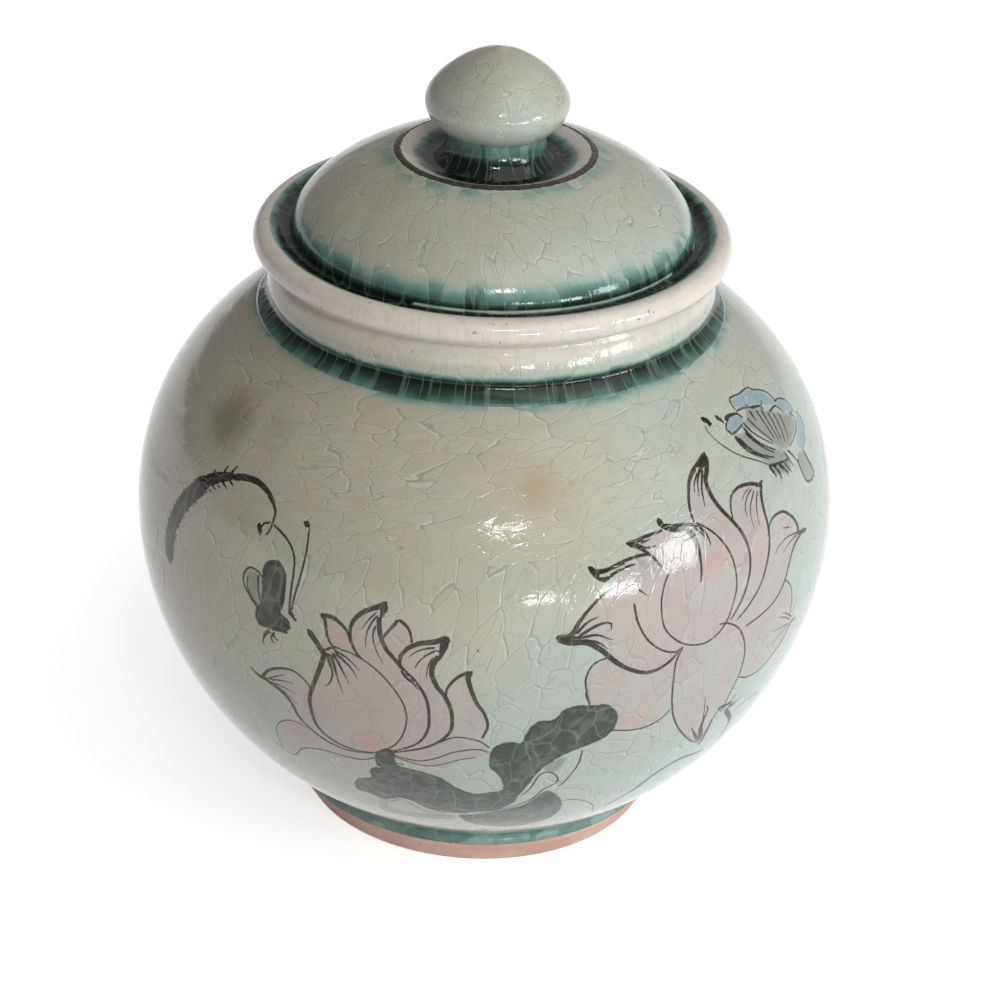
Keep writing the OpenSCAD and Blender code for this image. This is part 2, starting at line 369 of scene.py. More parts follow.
    # Painted highlight: in the pools the cracks' lit edges show a lighter teal
    body = r.mix(crack_highlight * r.step(depth, 0.2, 0.6) * 0.2, body, srgb(140, 176, 162))
    # Each cell lies at its own small tilt, and the cracks are fine grooves between them
    lean = r.vector("DOT_PRODUCT", r.vector("SUBTRACT", sheet, centre), r.vector("SUBTRACT", tone, middle))
    skin = lean * 0.30 + r.step(edge, 0.0, 0.05) * 0.16 + r.noise(r.mm, 0.8, 2.0, 0.6) * 0.30 - hair * 0.08
    r.feed(Base_Color=body, Normal=r.bump(skin, 0.00009))
    r.feed(Roughness=r.step(mottle, 0.2, 0.8, 0.05, 0.09), Specular_IOR_Level=0.38, IOR=1.5)
    return r.material


# The painting. Each brush line has half widths in millimetres at its start and end, and the places it
# runs through, in degrees round the jar from the front and millimetres up. The motifs are a common
# stock for such jars: lotus flowers, a lotus leaf, butterflies and a blade of grass.
BRUSH_LINES = {
    "small lotus": [
        (0.73, 0.22, [(-26.9, 73.6), (-25.8, 72), (-24.9, 70.5), (-24.3, 68.9), (-25.1, 65.2),
            (-26.3, 61), (-27.2, 57), (-27.2, 53.5), (-26.6, 49.8), (-24.9, 47.3), (-22.2, 45.8),
            (-19, 45.5), (-16.2, 46.2)]),
        (0.18, 0.22, [(-23.2, 71.1), (-21.3, 71.3), (-19.5, 71.1), (-16.9, 69.6), (-14.7, 67.4),
            (-12.8, 64.5), (-11.4, 61.2), (-10.9, 57.4), (-11.6, 53.1), (-13.2, 49.4), (-15.8, 46.5)]),
        (0.49, 0.08, [(-24.7, 69.2), (-23.9, 70.4), (-22.5, 71.6), (-21.2, 71.4)]),
        (0.53, 0.07, [(-24.2, 68.7), (-23.7, 69.4), (-23.2, 67.4), (-22.8, 65.2), (-23.4, 62.7),
            (-24.5, 61.3)]),
        (0.4, 0.07, [(-23, 69.6), (-22.3, 66.3), (-21.9, 64.1), (-21.1, 60.6)]),
        (0.4, 0.07, [(-22.7, 70), (-21.7, 68), (-20.7, 65.5), (-20, 63.5)]),
        (0.4, 0.07, [(-22.5, 70.4), (-21, 69.1), (-19.5, 67.3), (-18.5, 65)]),
        (0.33, 0.07, [(-22.5, 70.7), (-20.8, 70.1), (-19.3, 68.7), (-18.2, 67.2)]),
        (0.2, 0.56, [(-38.6, 59.3), (-37.8, 58.6), (-36.7, 58), (-35.2, 57.9)]),
        (0.4, 0.18, [(-36.3, 57.9), (-35, 60.2), (-33.1, 61.9), (-30.7, 62.9), (-28.9, 62.5),
            (-27.5, 61.1), (-26.8, 59.6)]),
        (0.46, 0.2, [(-35.7, 57.8), (-33.6, 56.9), (-31.8, 55.4), (-30.7, 53.3), (-30, 50.8),
            (-28.8, 48.9), (-27.1, 47.1), (-25, 45.7), (-22.3, 44.9), (-19.4, 45.1), (-16.5, 45.9)]),
        (0.26, 0.07, [(-35.1, 58.2), (-33.2, 59.9), (-31, 61.5)]),
        (0.26, 0.07, [(-34.9, 58), (-32.5, 59.2), (-29.6, 59.7)]),
        (0.26, 0.07, [(-34.7, 57.8), (-32.1, 57.6), (-29.3, 57)]),
        (0.26, 0.07, [(-34.3, 57.5), (-31.9, 56.3), (-29.7, 54.2)]),
        (0.1, 0.2, [(-38.9, 37.6), (-37.9, 37.2), (-36.8, 37.8), (-36.7, 40.7), (-36.2, 43.6),
            (-34.6, 46.5), (-32.5, 48.3), (-30.6, 48.7), (-29, 48)]),
        (0.2, 0.2, [(-37, 37.5), (-36.5, 36.1), (-34.7, 36), (-33, 38), (-31.9, 39.7), (-29.8, 41.3),
            (-26.5, 42.4), (-23.5, 42.4), (-19.7, 42.7), (-16.7, 44.5)]),
        (0.49, 0.2, [(-24.8, 78), (-24.2, 76.6), (-23.9, 74.5), (-23.3, 72.6), (-22.1, 70.8)]),
        (0.56, 0.2, [(-24.7, 77.9), (-22.9, 77.9), (-21.1, 76.6), (-20.2, 75), (-19.9, 73.5)]),
        (0.63, 0.22, [(-14.7, 83), (-15.8, 82.1), (-18, 80.6), (-19.5, 78.4), (-20, 76), (-19.7, 73.6),
            (-18.9, 71.6), (-17.8, 70.2)]),
        (0.59, 0.22, [(-14.7, 82.7), (-15.4, 80.4), (-15.4, 78.3), (-15, 75.8), (-14.2, 73.7),
            (-12.9, 71.8), (-11.3, 69.4), (-9.4, 66.9), (-7.9, 63.5), (-7.4, 59.5), (-7.6, 55.2),
            (-9, 51.5), (-11.3, 49.1), (-14.4, 47)]),
        (0.79, 0.33, [(-14.7, 82.9), (-14.8, 81.7), (-15.2, 80.2)]),
        (0.23, 0.07, [(-15.8, 81.2), (-17.2, 79), (-18.4, 76.3)]),
        (0.23, 0.07, [(-15.7, 80.6), (-16.9, 77.9), (-17.4, 75.2), (-17.3, 72.6)]),
        (0.23, 0.07, [(-15.9, 78.6), (-16.3, 75.9), (-15.7, 73), (-14.5, 70.1)]),
        (0.43, 0.22, [(-12.4, 80.2), (-13.5, 78.3), (-14.5, 76.4), (-14.7, 75.4)]),
        (0.4, 0.22, [(-12.3, 80.2), (-11, 78.9), (-10.4, 77.2), (-10.2, 75.4)]),
        (0.66, 0.23, [(-4.8, 77.5), (-6.7, 76.5), (-9, 75.8), (-10.7, 74.5), (-11.8, 72.6),
            (-11.9, 70.2), (-11.1, 68), (-9.6, 66.4)]),
        (0.66, 0.22, [(-4.9, 76.4), (-5.9, 73.6), (-6.8, 71.7), (-7, 69.2), (-6.2, 66.5), (-5, 64.3),
            (-4.1, 61.4), (-3.8, 58.4), (-4.1, 55.2), (-5.7, 52.3), (-8.3, 49.9), (-11.3, 48.2),
            (-14.4, 46.7)]),
        (0.86, 0.33, [(-4.8, 77.1), (-5.5, 75.8), (-6.3, 74.2)]),
        (0.26, 0.07, [(-6.4, 75.3), (-8.3, 74.7), (-9.8, 73.6), (-10.8, 72.2)]),
        (0.26, 0.07, [(-6.3, 74.8), (-8.1, 73.2), (-9.2, 71.4), (-9.7, 69.7)]),
        (0.23, 0.07, [(-6.8, 73.3), (-7.6, 71), (-7.9, 67.8)]),
        (0.2, 0.2, [(-11.7, 70.1), (-11.2, 68.3), (-9.8, 66.6), (-9.1, 65.2)]),
        (0.46, 0.2, [(-1.1, 70.5), (-2.7, 69.4), (-3.9, 67.8), (-4.7, 65.8), (-4.8, 63.3)]),
        (0.59, 0.25, [(-1.2, 70.3), (-1.5, 68.8), (-1.1, 66.6), (-0.2, 63.3), (1.1, 60.3), (1.7, 57.1),
            (0.9, 53.7)]),
        (0.2, 0.18, [(-14.4, 47), (-11.3, 48.2), (-8, 50.2), (-4.4, 53.1), (-2.9, 53.8), (-1, 53.5),
            (0.8, 52.7), (2.2, 51)]),
        (0.2, 0.18, [(-14.4, 46.6), (-11.8, 45.9), (-9.1, 45.7), (-6.4, 47.1), (-3.8, 49.2),
            (-1.2, 50.3), (0.7, 50.5), (2.3, 49.6)]),
        (0.2, 0.13, [(-13.8, 46), (-10.8, 44.9), (-7.8, 44.4), (-5.1, 45.6), (-2.5, 47.2), (0.4, 48.3)]),
        (0.1, 0.07, [(-44.3, 44.7), (-42.4, 43.6), (-41.5, 41.6), (-41.6, 38.4), (-43.4, 32.4)]),
    ],
    "leaf": [
        (0.2, 0.2, [(17.1, 65), (16.7, 63.9), (17.5, 61.1)]),
        (0.2, 0.2, [(17.4, 48.8), (17.3, 45), (16.5, 41.4), (15.4, 38.2), (14.3, 37.2)]),
        (0.17, 0.13, [(16.5, 30.9), (18.7, 30.9), (21.8, 29), (24.6, 25.7), (26.8, 20.6)]),
        (0.17, 0.13, [(-16.9, 27.6), (-14.2, 29.9), (-11.9, 28.5), (-9.7, 26.2), (-5.7, 26)]),
        (0.2, 0.2, [(-3.2, 25.9), (0.2, 26.6), (4, 28.7), (7.7, 30.8), (10.2, 32.8), (11.7, 35.6)]),
        (0.2, 0.2, [(8.2, 34.6), (9.7, 37.4), (10.9, 42.1), (12.6, 42.7), (14.1, 40.7), (14.1, 38.7),
            (12, 36.5), (10.7, 32.8), (9, 29.7)]),
        (0.13, 0.17, [(-16.5, 43.4), (-14.3, 43.8), (-11.7, 43.8)]),
    ],
    "large lotus": [
        (0.66, 0.23, [(44.4, 104.6), (42.5, 103.7), (40.4, 102.8), (38.9, 101.6), (37.7, 99.4),
            (37.1, 96.9), (37.3, 94.2)]),
        (0.66, 0.22, [(44.4, 104.5), (44.2, 103.5), (43.4, 102.1), (42.2, 100.4), (42.4, 97.7),
            (43.6, 94.9), (45.2, 92.3), (46.8, 89.2), (47.6, 85.7), (47.4, 81.8), (46.2, 78.2),
            (44.4, 74.8), (42.3, 72.2)]),
        (0.86, 0.2, [(44.1, 104), (42.6, 103), (41.2, 101.9)]),
        (0.33, 0.07, [(41.8, 102.5), (40.4, 100.8), (39.7, 98.3)]),
        (0.33, 0.07, [(42.4, 102.4), (40.9, 99.8), (40.5, 98.1), (40.2, 96.3)]),
        (0.26, 0.07, [(41.1, 102.3), (39.5, 100.6), (39, 99)]),
        (0.53, 0.2, [(55.3, 95.9), (54.2, 95.6), (52.3, 96.6), (49.2, 97.2), (46.8, 96.5),
            (45.7, 94.5), (45.5, 92.2)]),
        (0.46, 0.22, [(54.9, 95.7), (53.8, 93.8), (53.3, 91.2), (53.4, 87.9), (52.8, 84), (51.6, 80.6),
            (49.5, 76.8), (46.8, 73.8), (43.8, 71.6)]),
        (0.2, 0.07, [(52.1, 95.9), (50.1, 94.8), (48.9, 93.1), (49, 91.3)]),
        (0.2, 0.07, [(52.5, 95.4), (50.4, 93.2), (49.7, 91.1), (49.9, 88.7)]),
        (0.2, 0.07, [(53.1, 94.8), (51.8, 92.7), (51.3, 90.4), (51.3, 88.3)]),
        (0.17, 0.07, [(51.4, 96.2), (49.6, 95.5), (48.5, 94.2)]),
        (0.53, 0.2, [(64.9, 80.8), (62.2, 81.7), (61.9, 83.5), (60.9, 85.7), (58.6, 88.1), (56, 88.7),
            (54, 87.9), (53.2, 86.2)]),
        (0.33, 0.22, [(63.1, 81.2), (60.1, 80), (58.1, 77.3), (56.2, 73.5), (53.4, 70.9), (50.1, 69.8),
            (46.2, 69.1)]),
        (0.2, 0.07, [(61.8, 82), (57.9, 82.9), (55, 82.2), (54.2, 81)]),
        (0.2, 0.07, [(61.7, 81.7), (58.6, 81.4), (56.2, 80.3)]),
        (0.17, 0.07, [(59.2, 84.5), (56.9, 85.5)]),
        (0.18, 0.18, [(56.6, 74.3), (58.5, 71.6), (59.5, 67.6), (59.5, 63.7)]),
        (0.33, 0.18, [(62.8, 61), (60.7, 61.2), (59.5, 58.8), (56.8, 56.2), (53.1, 54.1), (49.4, 54.4),
            (46.5, 56.2)]),
        (0.2, 0.07, [(59.8, 61.7), (56.7, 62.4), (53.8, 63.3)]),
        (0.2, 0.07, [(60, 61.2), (56.8, 60.4), (54.7, 59.2)]),
        (0.2, 0.07, [(60.1, 62.3), (57.8, 64.4), (55.7, 65.7)]),
        (0.2, 0.07, [(60.5, 62.7), (58.1, 65.2), (56.6, 66.1)]),
        (0.2, 0.22, [(30.9, 87.1), (29.7, 84.6), (29, 80.8), (29.4, 76.2), (31.4, 72.7), (34.1, 70.4),
            (37.2, 69.5), (39.7, 70.4), (41.7, 72.6), (43, 75.8), (44, 79.6), (43.9, 83.9),
            (42.9, 87.8), (40.9, 91.3), (38.7, 93.6), (37.3, 94.8)]),
        (0.66, 0.36, [(30.6, 96.8), (31.1, 95.7), (32.8, 95.1), (35.3, 94.8), (38.1, 93.8)]),
        (0.73, 0.26, [(31.4, 95.5), (33.4, 94.3), (35.4, 93.8)]),
        (0.59, 0.2, [(34.3, 95.1), (36.4, 93), (37.1, 89.7), (37, 85.6), (36.5, 82.7)]),
        (0.4, 0.07, [(35.5, 93.7), (36.5, 91.1), (36.5, 88.2)]),
        (0.4, 0.07, [(38.1, 93.6), (39.3, 91.4), (39.7, 89)]),
        (0.26, 0.07, [(36.7, 94.2), (38.5, 91.9), (39, 90.3)]),
        (0.59, 0.23, [(24.2, 94), (25.5, 94), (27.4, 94.5), (29.8, 94.8), (31.9, 95.1)]),
        (0.53, 0.2, [(24.4, 93.7), (25.8, 93.1), (27.2, 91.8), (28.5, 90.3), (29.7, 88.3)]),
        (0.4, 0.13, [(25, 94), (26.8, 93.7), (28.7, 94)]),
        (0.4, 0.13, [(25.6, 93.5), (27.5, 92.5), (29.4, 92.6)]),
        (0.59, 0.3, [(17.3, 90.7), (18.2, 89.9), (20.2, 89.9), (23, 90.9), (25.7, 91.4), (27.8, 91.3)]),
        (0.66, 0.2, [(17.5, 90.4), (18.6, 88.8), (19.7, 88.2), (21.4, 89.1), (23.4, 89.8), (25.4, 90.1)]),
        (0.4, 0.13, [(18.9, 89.4), (21.5, 90.1), (23.7, 90.6)]),
        (0.26, 0.2, [(24.3, 82.5), (24.8, 78.6), (26.4, 74.4), (28.7, 71.4), (31.3, 69.8), (33.4, 70.5)]),
        (0.26, 0.07, [(25.3, 85), (26.8, 83.4)]),
        (0.66, 0.23, [(12, 77.6), (13.2, 77.5), (14.3, 78.4), (15.3, 80.5), (16.9, 82.8), (19, 85.1),
            (21.2, 86.4)]),
        (0.73, 0.28, [(12, 77.3), (13.8, 76.3), (16.5, 75.9), (18.9, 73.7), (21.4, 70.4), (24, 68),
            (26.7, 66.6), (29.3, 67), (31.4, 68.6), (33.1, 70.6)]),
        (0.86, 0.33, [(12.6, 77.3), (13.9, 77.3), (15.3, 77)]),
        (0.4, 0.07, [(14.5, 77.7), (16.5, 80.1), (18.8, 81.2)]),
        (0.4, 0.07, [(14.9, 77.3), (17.9, 79.2), (19.9, 79.5), (20.4, 78.5), (19.7, 77.6)]),
        (0.46, 0.07, [(15.3, 76.8), (17.9, 77.3), (20.7, 75.6)]),
        (0.46, 0.07, [(15.7, 76.4), (18.1, 75.7), (19.9, 73.8)]),
        (0.23, 0.07, [(15.7, 79.3), (17.5, 81.1)]),
        (0.2, 0.22, [(21.4, 71.1), (19.5, 71.8), (17.4, 70.6), (16.5, 67.5), (16.8, 64.5), (17.5, 60.9)]),
        (0.2, 0.22, [(40, 72.6), (42.2, 71.8), (44.5, 69.5), (46.1, 66), (46.9, 61.8), (46.8, 58),
            (46.2, 54.4), (45.5, 51.4), (45, 47.3)]),
        (0.23, 0.22, [(33.1, 70.4), (31.9, 67.4), (31.7, 63), (32, 58.4), (32.4, 55.9), (33.3, 52.4),
            (35.6, 47.6), (39.5, 42.3), (43.6, 38.6)]),
        (0.2, 0.2, [(21.1, 53.6), (24.7, 52.3), (27.9, 52), (30.5, 53), (32.5, 55.4)]),
        (0.59, 0.17, [(43.5, 38.5), (43.6, 40.6), (43.4, 46.2), (44.9, 49.5)]),
        (0.53, 0.07, [(42.3, 40.2), (39.9, 44.1), (38.3, 46.9)]),
        (0.53, 0.07, [(42.8, 40.3), (41, 46.1), (40.9, 50.4), (40.2, 52)]),
        (0.46, 0.07, [(42.7, 40), (41, 44.6), (40.6, 47.9), (39.2, 55.5)]),
        (0.46, 0.07, [(43.4, 39.1), (43.2, 43.2), (43.8, 45.9)]),
        (0.33, 0.13, [(44.8, 47.5), (45.8, 48.7), (47, 49.7), (47.7, 51.4)]),
        (0.79, 0.2, [(44.1, 49), (46.2, 48.8), (47.8, 48.5)]),
        (0.66, 0.2, [(46.3, 47.2), (50, 41.8), (50.9, 38), (51.5, 34.2), (50.3, 33.6)]),
        (0.66, 0.13, [(46.8, 47.7), (48.4, 47.7), (49.5, 48.5)]),
    ],
    "blue butterfly": [
        (0.66, 0.4, [(48.4, 109.3), (49.2, 108.8), (49.6, 108.1)]),
        (0.66, 0.4, [(48.6, 109.1), (49.3, 108.6), (49.2, 108)]),
        (0.13, 0.17, [(48.2, 108.5), (47.9, 107.5), (48.6, 105.8), (50, 104.1), (51.9, 102.3),
            (53.9, 100.9), (56.4, 99.3), (58.9, 97.5)]),
        (0.59, 0.2, [(52.1, 108.6), (52.6, 108), (53.1, 107.4)]),
        (0.53, 0.2, [(54, 107.6), (55.4, 107.8), (57.8, 107.4), (58.7, 106.4)]),
        (0.26, 0.2, [(53.4, 105.2), (52.8, 106.3), (53.6, 107.1), (55, 107.5)]),
        (0.33, 0.2, [(53.3, 105.2), (55.2, 105.3), (58, 105.6)]),
        (0.2, 0.2, [(58.2, 107.8), (58.3, 109.1), (59.4, 109.7), (62.2, 109.4), (64.4, 109.3),
            (66.4, 109.1), (67.4, 108.4), (69.9, 107.3), (71.4, 106.1), (71.9, 104.7)]),
        (0.26, 0.2, [(58.3, 107.7), (60.4, 107.5), (62.5, 106.9), (65.3, 106.1), (66.4, 105.1)]),
        (0.2, 0.2, [(71.3, 104.5), (73.8, 104), (75.6, 102.9), (76.2, 101.8), (76, 100.6), (74.1, 100.8)]),
        (0.2, 0.13, [(61.7, 107.7), (63.2, 106.5), (66.4, 105.9), (67.4, 106.2)]),
        (0.26, 0.13, [(67.5, 104.1), (70.6, 103.9), (71.8, 102.6), (72.5, 101.6)]),
        (0.33, 0.13, [(61.9, 106.6), (61.8, 105.3), (61.9, 104.2)]),
        (0.3, 0.13, [(63.8, 106.1), (63.8, 104.5), (64, 102), (64.2, 100.2)]),
        (0.3, 0.13, [(65.5, 105.5), (65.2, 103.7), (65.2, 101.5), (65.3, 99.5)]),
        (0.3, 0.13, [(66.8, 104.5), (66.7, 102.8), (66.3, 100.7), (66.1, 99)]),
        (0.3, 0.13, [(68.4, 103.7), (68.2, 101.8), (67.7, 100.1), (66.9, 98.4)]),
        (0.26, 0.13, [(70.3, 102.9), (69.9, 101.3), (69.1, 99.4), (68.1, 97.9)]),
        (0.33, 0.13, [(59.8, 106), (60.5, 104.5), (61.8, 102.3), (63.3, 100.1)]),
        (0.33, 0.13, [(58, 105.6), (58.9, 103.7), (60.9, 101.6), (63.3, 99.5)]),
        (0.4, 0.17, [(57.2, 105.2), (57.9, 103.4), (59.7, 101.1), (62.9, 98.6)]),
        (0.53, 0.17, [(53.8, 104.7), (54.4, 102.9), (55.9, 101), (59.7, 98.3)]),
        (0.46, 0.17, [(54.4, 104.1), (55.8, 101.9), (57.9, 99.9), (61.5, 97.8)]),
        (0.4, 0.17, [(57, 104.2), (57.8, 102.8), (59.7, 100.5), (62.1, 98.4)]),
        (0.2, 0.13, [(74.1, 100.8), (75, 99.5), (73.5, 98.1), (70.8, 97.4), (67.4, 97.1)]),
        (0.17, 0.13, [(77.4, 99.6), (77.8, 97.4), (76.1, 95.9), (74, 94.8), (71.3, 94.1)]),
        (0.33, 0.13, [(66.4, 96.9), (67.2, 95.7), (68.2, 93.7), (68.2, 92.2)]),
        (0.26, 0.13, [(64.9, 97.4), (65.6, 95.6), (66.4, 93.4)]),
        (0.4, 0.2, [(58.8, 97.3), (60.6, 96.8), (63, 96.2), (65.6, 95.6)]),
        (0.59, 0.2, [(58.8, 97.3), (59.3, 96), (59.6, 95)]),
        (0.53, 0.2, [(60.2, 97), (60.9, 95.2), (60.9, 94.1)]),
        (0.53, 0.2, [(61.8, 96.2), (63.2, 94.4), (63.5, 93.1)]),
        (0.4, 0.2, [(63.5, 96), (64.3, 94.2), (64.8, 93.2)]),
        (0.4, 0.26, [(72.1, 94), (72.7, 91.2), (73.3, 88.7), (71.5, 88.1), (69.4, 88.9), (68.5, 90.7),
            (68.3, 93), (69, 94.4)]),
        (0.17, 0.07, [(68.6, 87.4), (68.6, 86.7)]),
    ],
    "dark butterfly": [
        (0.73, 0.33, [(-38.9, 90.8), (-38.5, 90), (-38.2, 89.1)]),
        (0.23, 0.26, [(-38.4, 90.4), (-38.1, 91.3), (-37.2, 91.9), (-36.5, 91.8), (-36.6, 90.7),
            (-37.1, 89.5)]),
        (0.23, 0.3, [(-36.3, 91.9), (-34.2, 91.1), (-32.2, 89.6), (-30.9, 87.4), (-30.6, 84.7),
            (-30.6, 81.8), (-30.6, 78.5), (-30.5, 75.7)]),
        (0.76, 0.66, [(-30.3, 94.2), (-29.7, 93.9)]),
        (0.2, 0.26, [(-29.4, 93.6), (-29.1, 91.1), (-29, 88), (-29.3, 84), (-29.8, 80.5), (-30.2, 76.5)]),
        (0.53, 0.26, [(-30.4, 76.4), (-29.8, 75.5), (-29.4, 75)]),
        (0.23, 0.26, [(-36.5, 74.3), (-38.2, 76.2), (-39.7, 78.3), (-39.9, 80.6), (-38.9, 82.2),
            (-37.2, 82.1), (-36.3, 81.4)]),
        (0.17, 0.2, [(-39.1, 80.7), (-39, 78.2), (-37.8, 76.1), (-36.3, 74.9)]),
        (0.53, 0.53, [(-36.1, 81.7), (-35.8, 83.9), (-34.8, 85), (-33.5, 85.2), (-32.3, 83.6),
            (-32, 81.3), (-32, 78.3), (-32.4, 76)]),
        (0.26, 0.26, [(-37.1, 81.6), (-36.7, 78.4), (-35.9, 75.7)]),
        (0.33, 0.17, [(-33.4, 71), (-33.2, 69.5), (-32.6, 69.1)]),
        (0.33, 0.17, [(-34, 70.8), (-35.1, 69.3), (-35.3, 67.8)]),
        (0.53, 0.33, [(-34, 71.2), (-32.5, 71.5), (-30.6, 71.6)]),
        (0.59, 0.33, [(-32.5, 73.7), (-31.4, 73.3), (-30.2, 72.9)]),
    ],
    "legs": [
        (0.3, 0.13, [(-33.5, 70.7), (-34.7, 69.5), (-35.4, 67.7), (-35.1, 66.4)]),
        (0.3, 0.13, [(-33, 70.9), (-33.7, 69.4), (-33.6, 68.3), (-32.9, 67.9)]),
    ],
    "grass": [
        (2, 2.2, [(-59.6, 72.8), (-60, 76.5), (-59.5, 80.9), (-58.1, 85.3), (-56.1, 89.1), (-53.9, 92.3)]),
        (1.7, 0.8, [(-55, 90.8), (-52.8, 93.5), (-50.2, 95.3), (-47.6, 96.5)]),
        (0.36, 0.17, [(-37.5, 95.5), (-36.5, 94.2), (-36.4, 92.7), (-36.5, 91.8)]),
        (0.17, 0.07, [(-64.6, 76.3), (-65.8, 70.7), (-68.1, 64.7), (-68.5, 62)]),
        (0.17, 0.07, [(-61.9, 71.1), (-62, 65.7), (-63.8, 59.4), (-64.4, 54.9)]),
        (0.17, 0.1, [(-75.6, 68.1), (-72.6, 66.9), (-69, 65.1), (-67.4, 63.3)]),
        (0.8, 0.5, [(-47.6, 96.5), (-44.9, 97.4), (-42, 97.7), (-39.3, 96.9), (-37.3, 95.4)]),
    ],
    "stems": [
        (0.59, 0.26, [(94, 91.3), (88.3, 90.1), (83.5, 87.3), (79.4, 83.4)]),
        (0.2, 0.13, [(79.4, 83.4), (77.5, 79.5), (75.4, 75), (72.6, 71)]),
        (0.59, 0.59, [(28.3, 23.4), (32.3, 27.7), (35.5, 33.1), (40.2, 35.6), (47.1, 33.7)]),
        (0.13, 0.13, [(49.7, 45), (53.2, 45.5), (57.8, 44.6)]),
        (0.23, 0.13, [(-46.2, 28.9), (-40.9, 28.1), (-36.4, 24.5), (-33.7, 20.6)]),
        (0.2, 0.13, [(-49.3, 28.9), (-44.4, 25.3), (-40.5, 22.2)]),
    ],
    "specks": [
        (0.23, 0.2, [(-0.3, 75.3), (-0.1, 75.1)]),
        (0.13, 0.1, [(37.5, 102.5), (37.5, 102)]),
    ],
}
# Where the petals are washed with pink
PETALS = {
    "small lotus": [
        [(-38.6, 59.3), (-35.5, 59.2), (-33.1, 61.9), (-30.7, 62.9), (-28.9, 62.5), (-26.8, 60),
         (-25.1, 65.2), (-24.3, 68.9), (-24.9, 70.5), (-23.9, 74.5), (-24.7, 77.9), (-22.9, 77.9),
         (-21.1, 76.6), (-20.1, 74.6), (-19.8, 76.5), (-18.9, 79.5), (-15.8, 82.1), (-14.7, 83),
         (-15.4, 80.4), (-15.3, 77.9), (-14.6, 76.2), (-12.4, 80.2), (-11, 78.9), (-10.2, 75.7),
         (-6.7, 76.5), (-4.9, 77.3), (-5.9, 73.6), (-7, 71.2), (-6.2, 66.5), (-4.8, 63.9),
         (-4.7, 65.8), (-3.9, 67.8), (-1.1, 70.5), (-1.4, 68.6), (-0.2, 63.3), (1.7, 57.1),
         (0.9, 53.7), (2.2, 51), (1.9, 49.6), (0.4, 48.3), (-2.5, 47.2), (-5.1, 45.6), (-7.8, 44.4),
         (-10.8, 44.9), (-13.8, 46), (-16.7, 44.5), (-19.7, 42.7), (-23.5, 42.4), (-26.5, 42.4),
         (-31.9, 39.7), (-34.7, 36), (-36.5, 36.1), (-37.8, 37.4), (-36.1, 43.6), (-34.5, 46.7),
         (-32.5, 48.3), (-30, 49), (-30.7, 53.3), (-31.8, 55.4), (-33.6, 56.9), (-35.7, 57.8)],
    ],
    "large lotus": [
        [(44.4, 104.6), (40.4, 102.8), (37.7, 99.4), (37, 96.5), (34.3, 95.1), (30.7, 96.6),
         (31.3, 95.2), (24.3, 93.8), (26, 92), (27.8, 91.3), (20.2, 89.9), (17.5, 90.5), (18.8, 88.7),
         (21.4, 89.1), (21.2, 86.4), (19, 85.1), (15.3, 80.5), (12.2, 77.6), (13.8, 76.3),
         (16.5, 75.9), (19.4, 72.2), (17.4, 70.6), (16.5, 67.5), (17.5, 60.9), (21.5, 57.6),
         (21.5, 53.5), (24.7, 52.3), (27.9, 52), (30.5, 53), (32.5, 55.4), (33.3, 52.4), (35.6, 47.6),
         (39.5, 42.3), (43.6, 38.6), (43.4, 46.2), (45.5, 51.4), (46.8, 58), (46.5, 56.2),
         (49.4, 54.4), (53.1, 54.1), (56.8, 56.2), (59.5, 58.8), (61.8, 61.5), (59.1, 69.1),
         (56.6, 74.3), (58.1, 77.3), (63.1, 81.2), (60.9, 85.7), (58.6, 88.1), (56, 88.7),
         (53.4, 87.4), (53.3, 91.2), (54.9, 95.7), (52.3, 96.6), (49.2, 97.2), (46.1, 95.4),
         (45.2, 92.3), (42.4, 97.7), (42.3, 100.3), (43.8, 102.4)],
    ],
}
# Where iron is laid on thick, for the leaf and the dark wings
IRON_THICK = {
    "leaf": [
        [(-16.2, 47.1), (-13.4, 48), (-13.1, 43.4), (-10.1, 42.7), (-5.9, 41), (-3, 37.7), (0.1, 35.8),
         (3.2, 36.6), (4.9, 37.5), (4.2, 41.8), (2.3, 45.1), (2.1, 48.9), (3, 51.6), (5.3, 53),
         (7.2, 52.5), (7.9, 55.7), (9.4, 58.3), (12.1, 58.4), (13.5, 61.2), (15.9, 61.4), (17.9, 61.1),
         (20.6, 60.6), (22.2, 58.4), (22.6, 55.6), (21.5, 52.1), (18.9, 50.3), (15.7, 48.8),
         (13.8, 47.5), (11.9, 45.3), (10.4, 43), (9.5, 39.7), (8.1, 35.2), (7.1, 31.6), (4, 28.9),
         (0.2, 27.6), (-3.7, 26.8), (-6.7, 26.7), (-9.5, 28.1), (-12.1, 30.7), (-14.6, 30.6),
         (-17.5, 28.5), (-20.2, 29.9), (-22.8, 30.1), (-22.7, 32.7), (-21.2, 35.6), (-18.3, 37.2),
         (-18.6, 39.2), (-17.7, 41.1), (-16.1, 41.5), (-17, 42.8)],
        [(-3.2, 25.9), (0.2, 26.3), (4.1, 28.2), (7.7, 30.1), (10.4, 31.8), (11.8, 34.8), (13, 36.2),
         (15.2, 33.9), (17, 29.6), (17.1, 25.3), (15.5, 21.6), (11.5, 19.5), (6, 19), (1.4, 20.5),
         (-1.8, 23.1)],
    ],
    "dark butterfly": [
        [(-36, 83), (-35.2, 84.9), (-33.5, 85.4), (-32.2, 83.7), (-31.7, 81), (-31.7, 78),
         (-32.2, 75.6), (-30.7, 74.5), (-30.2, 72.5), (-32.1, 71.2), (-34, 71.2), (-36, 70.7),
         (-37, 72.3), (-36.9, 74.4), (-36, 76.1), (-36.2, 79.5)],
    ],
}
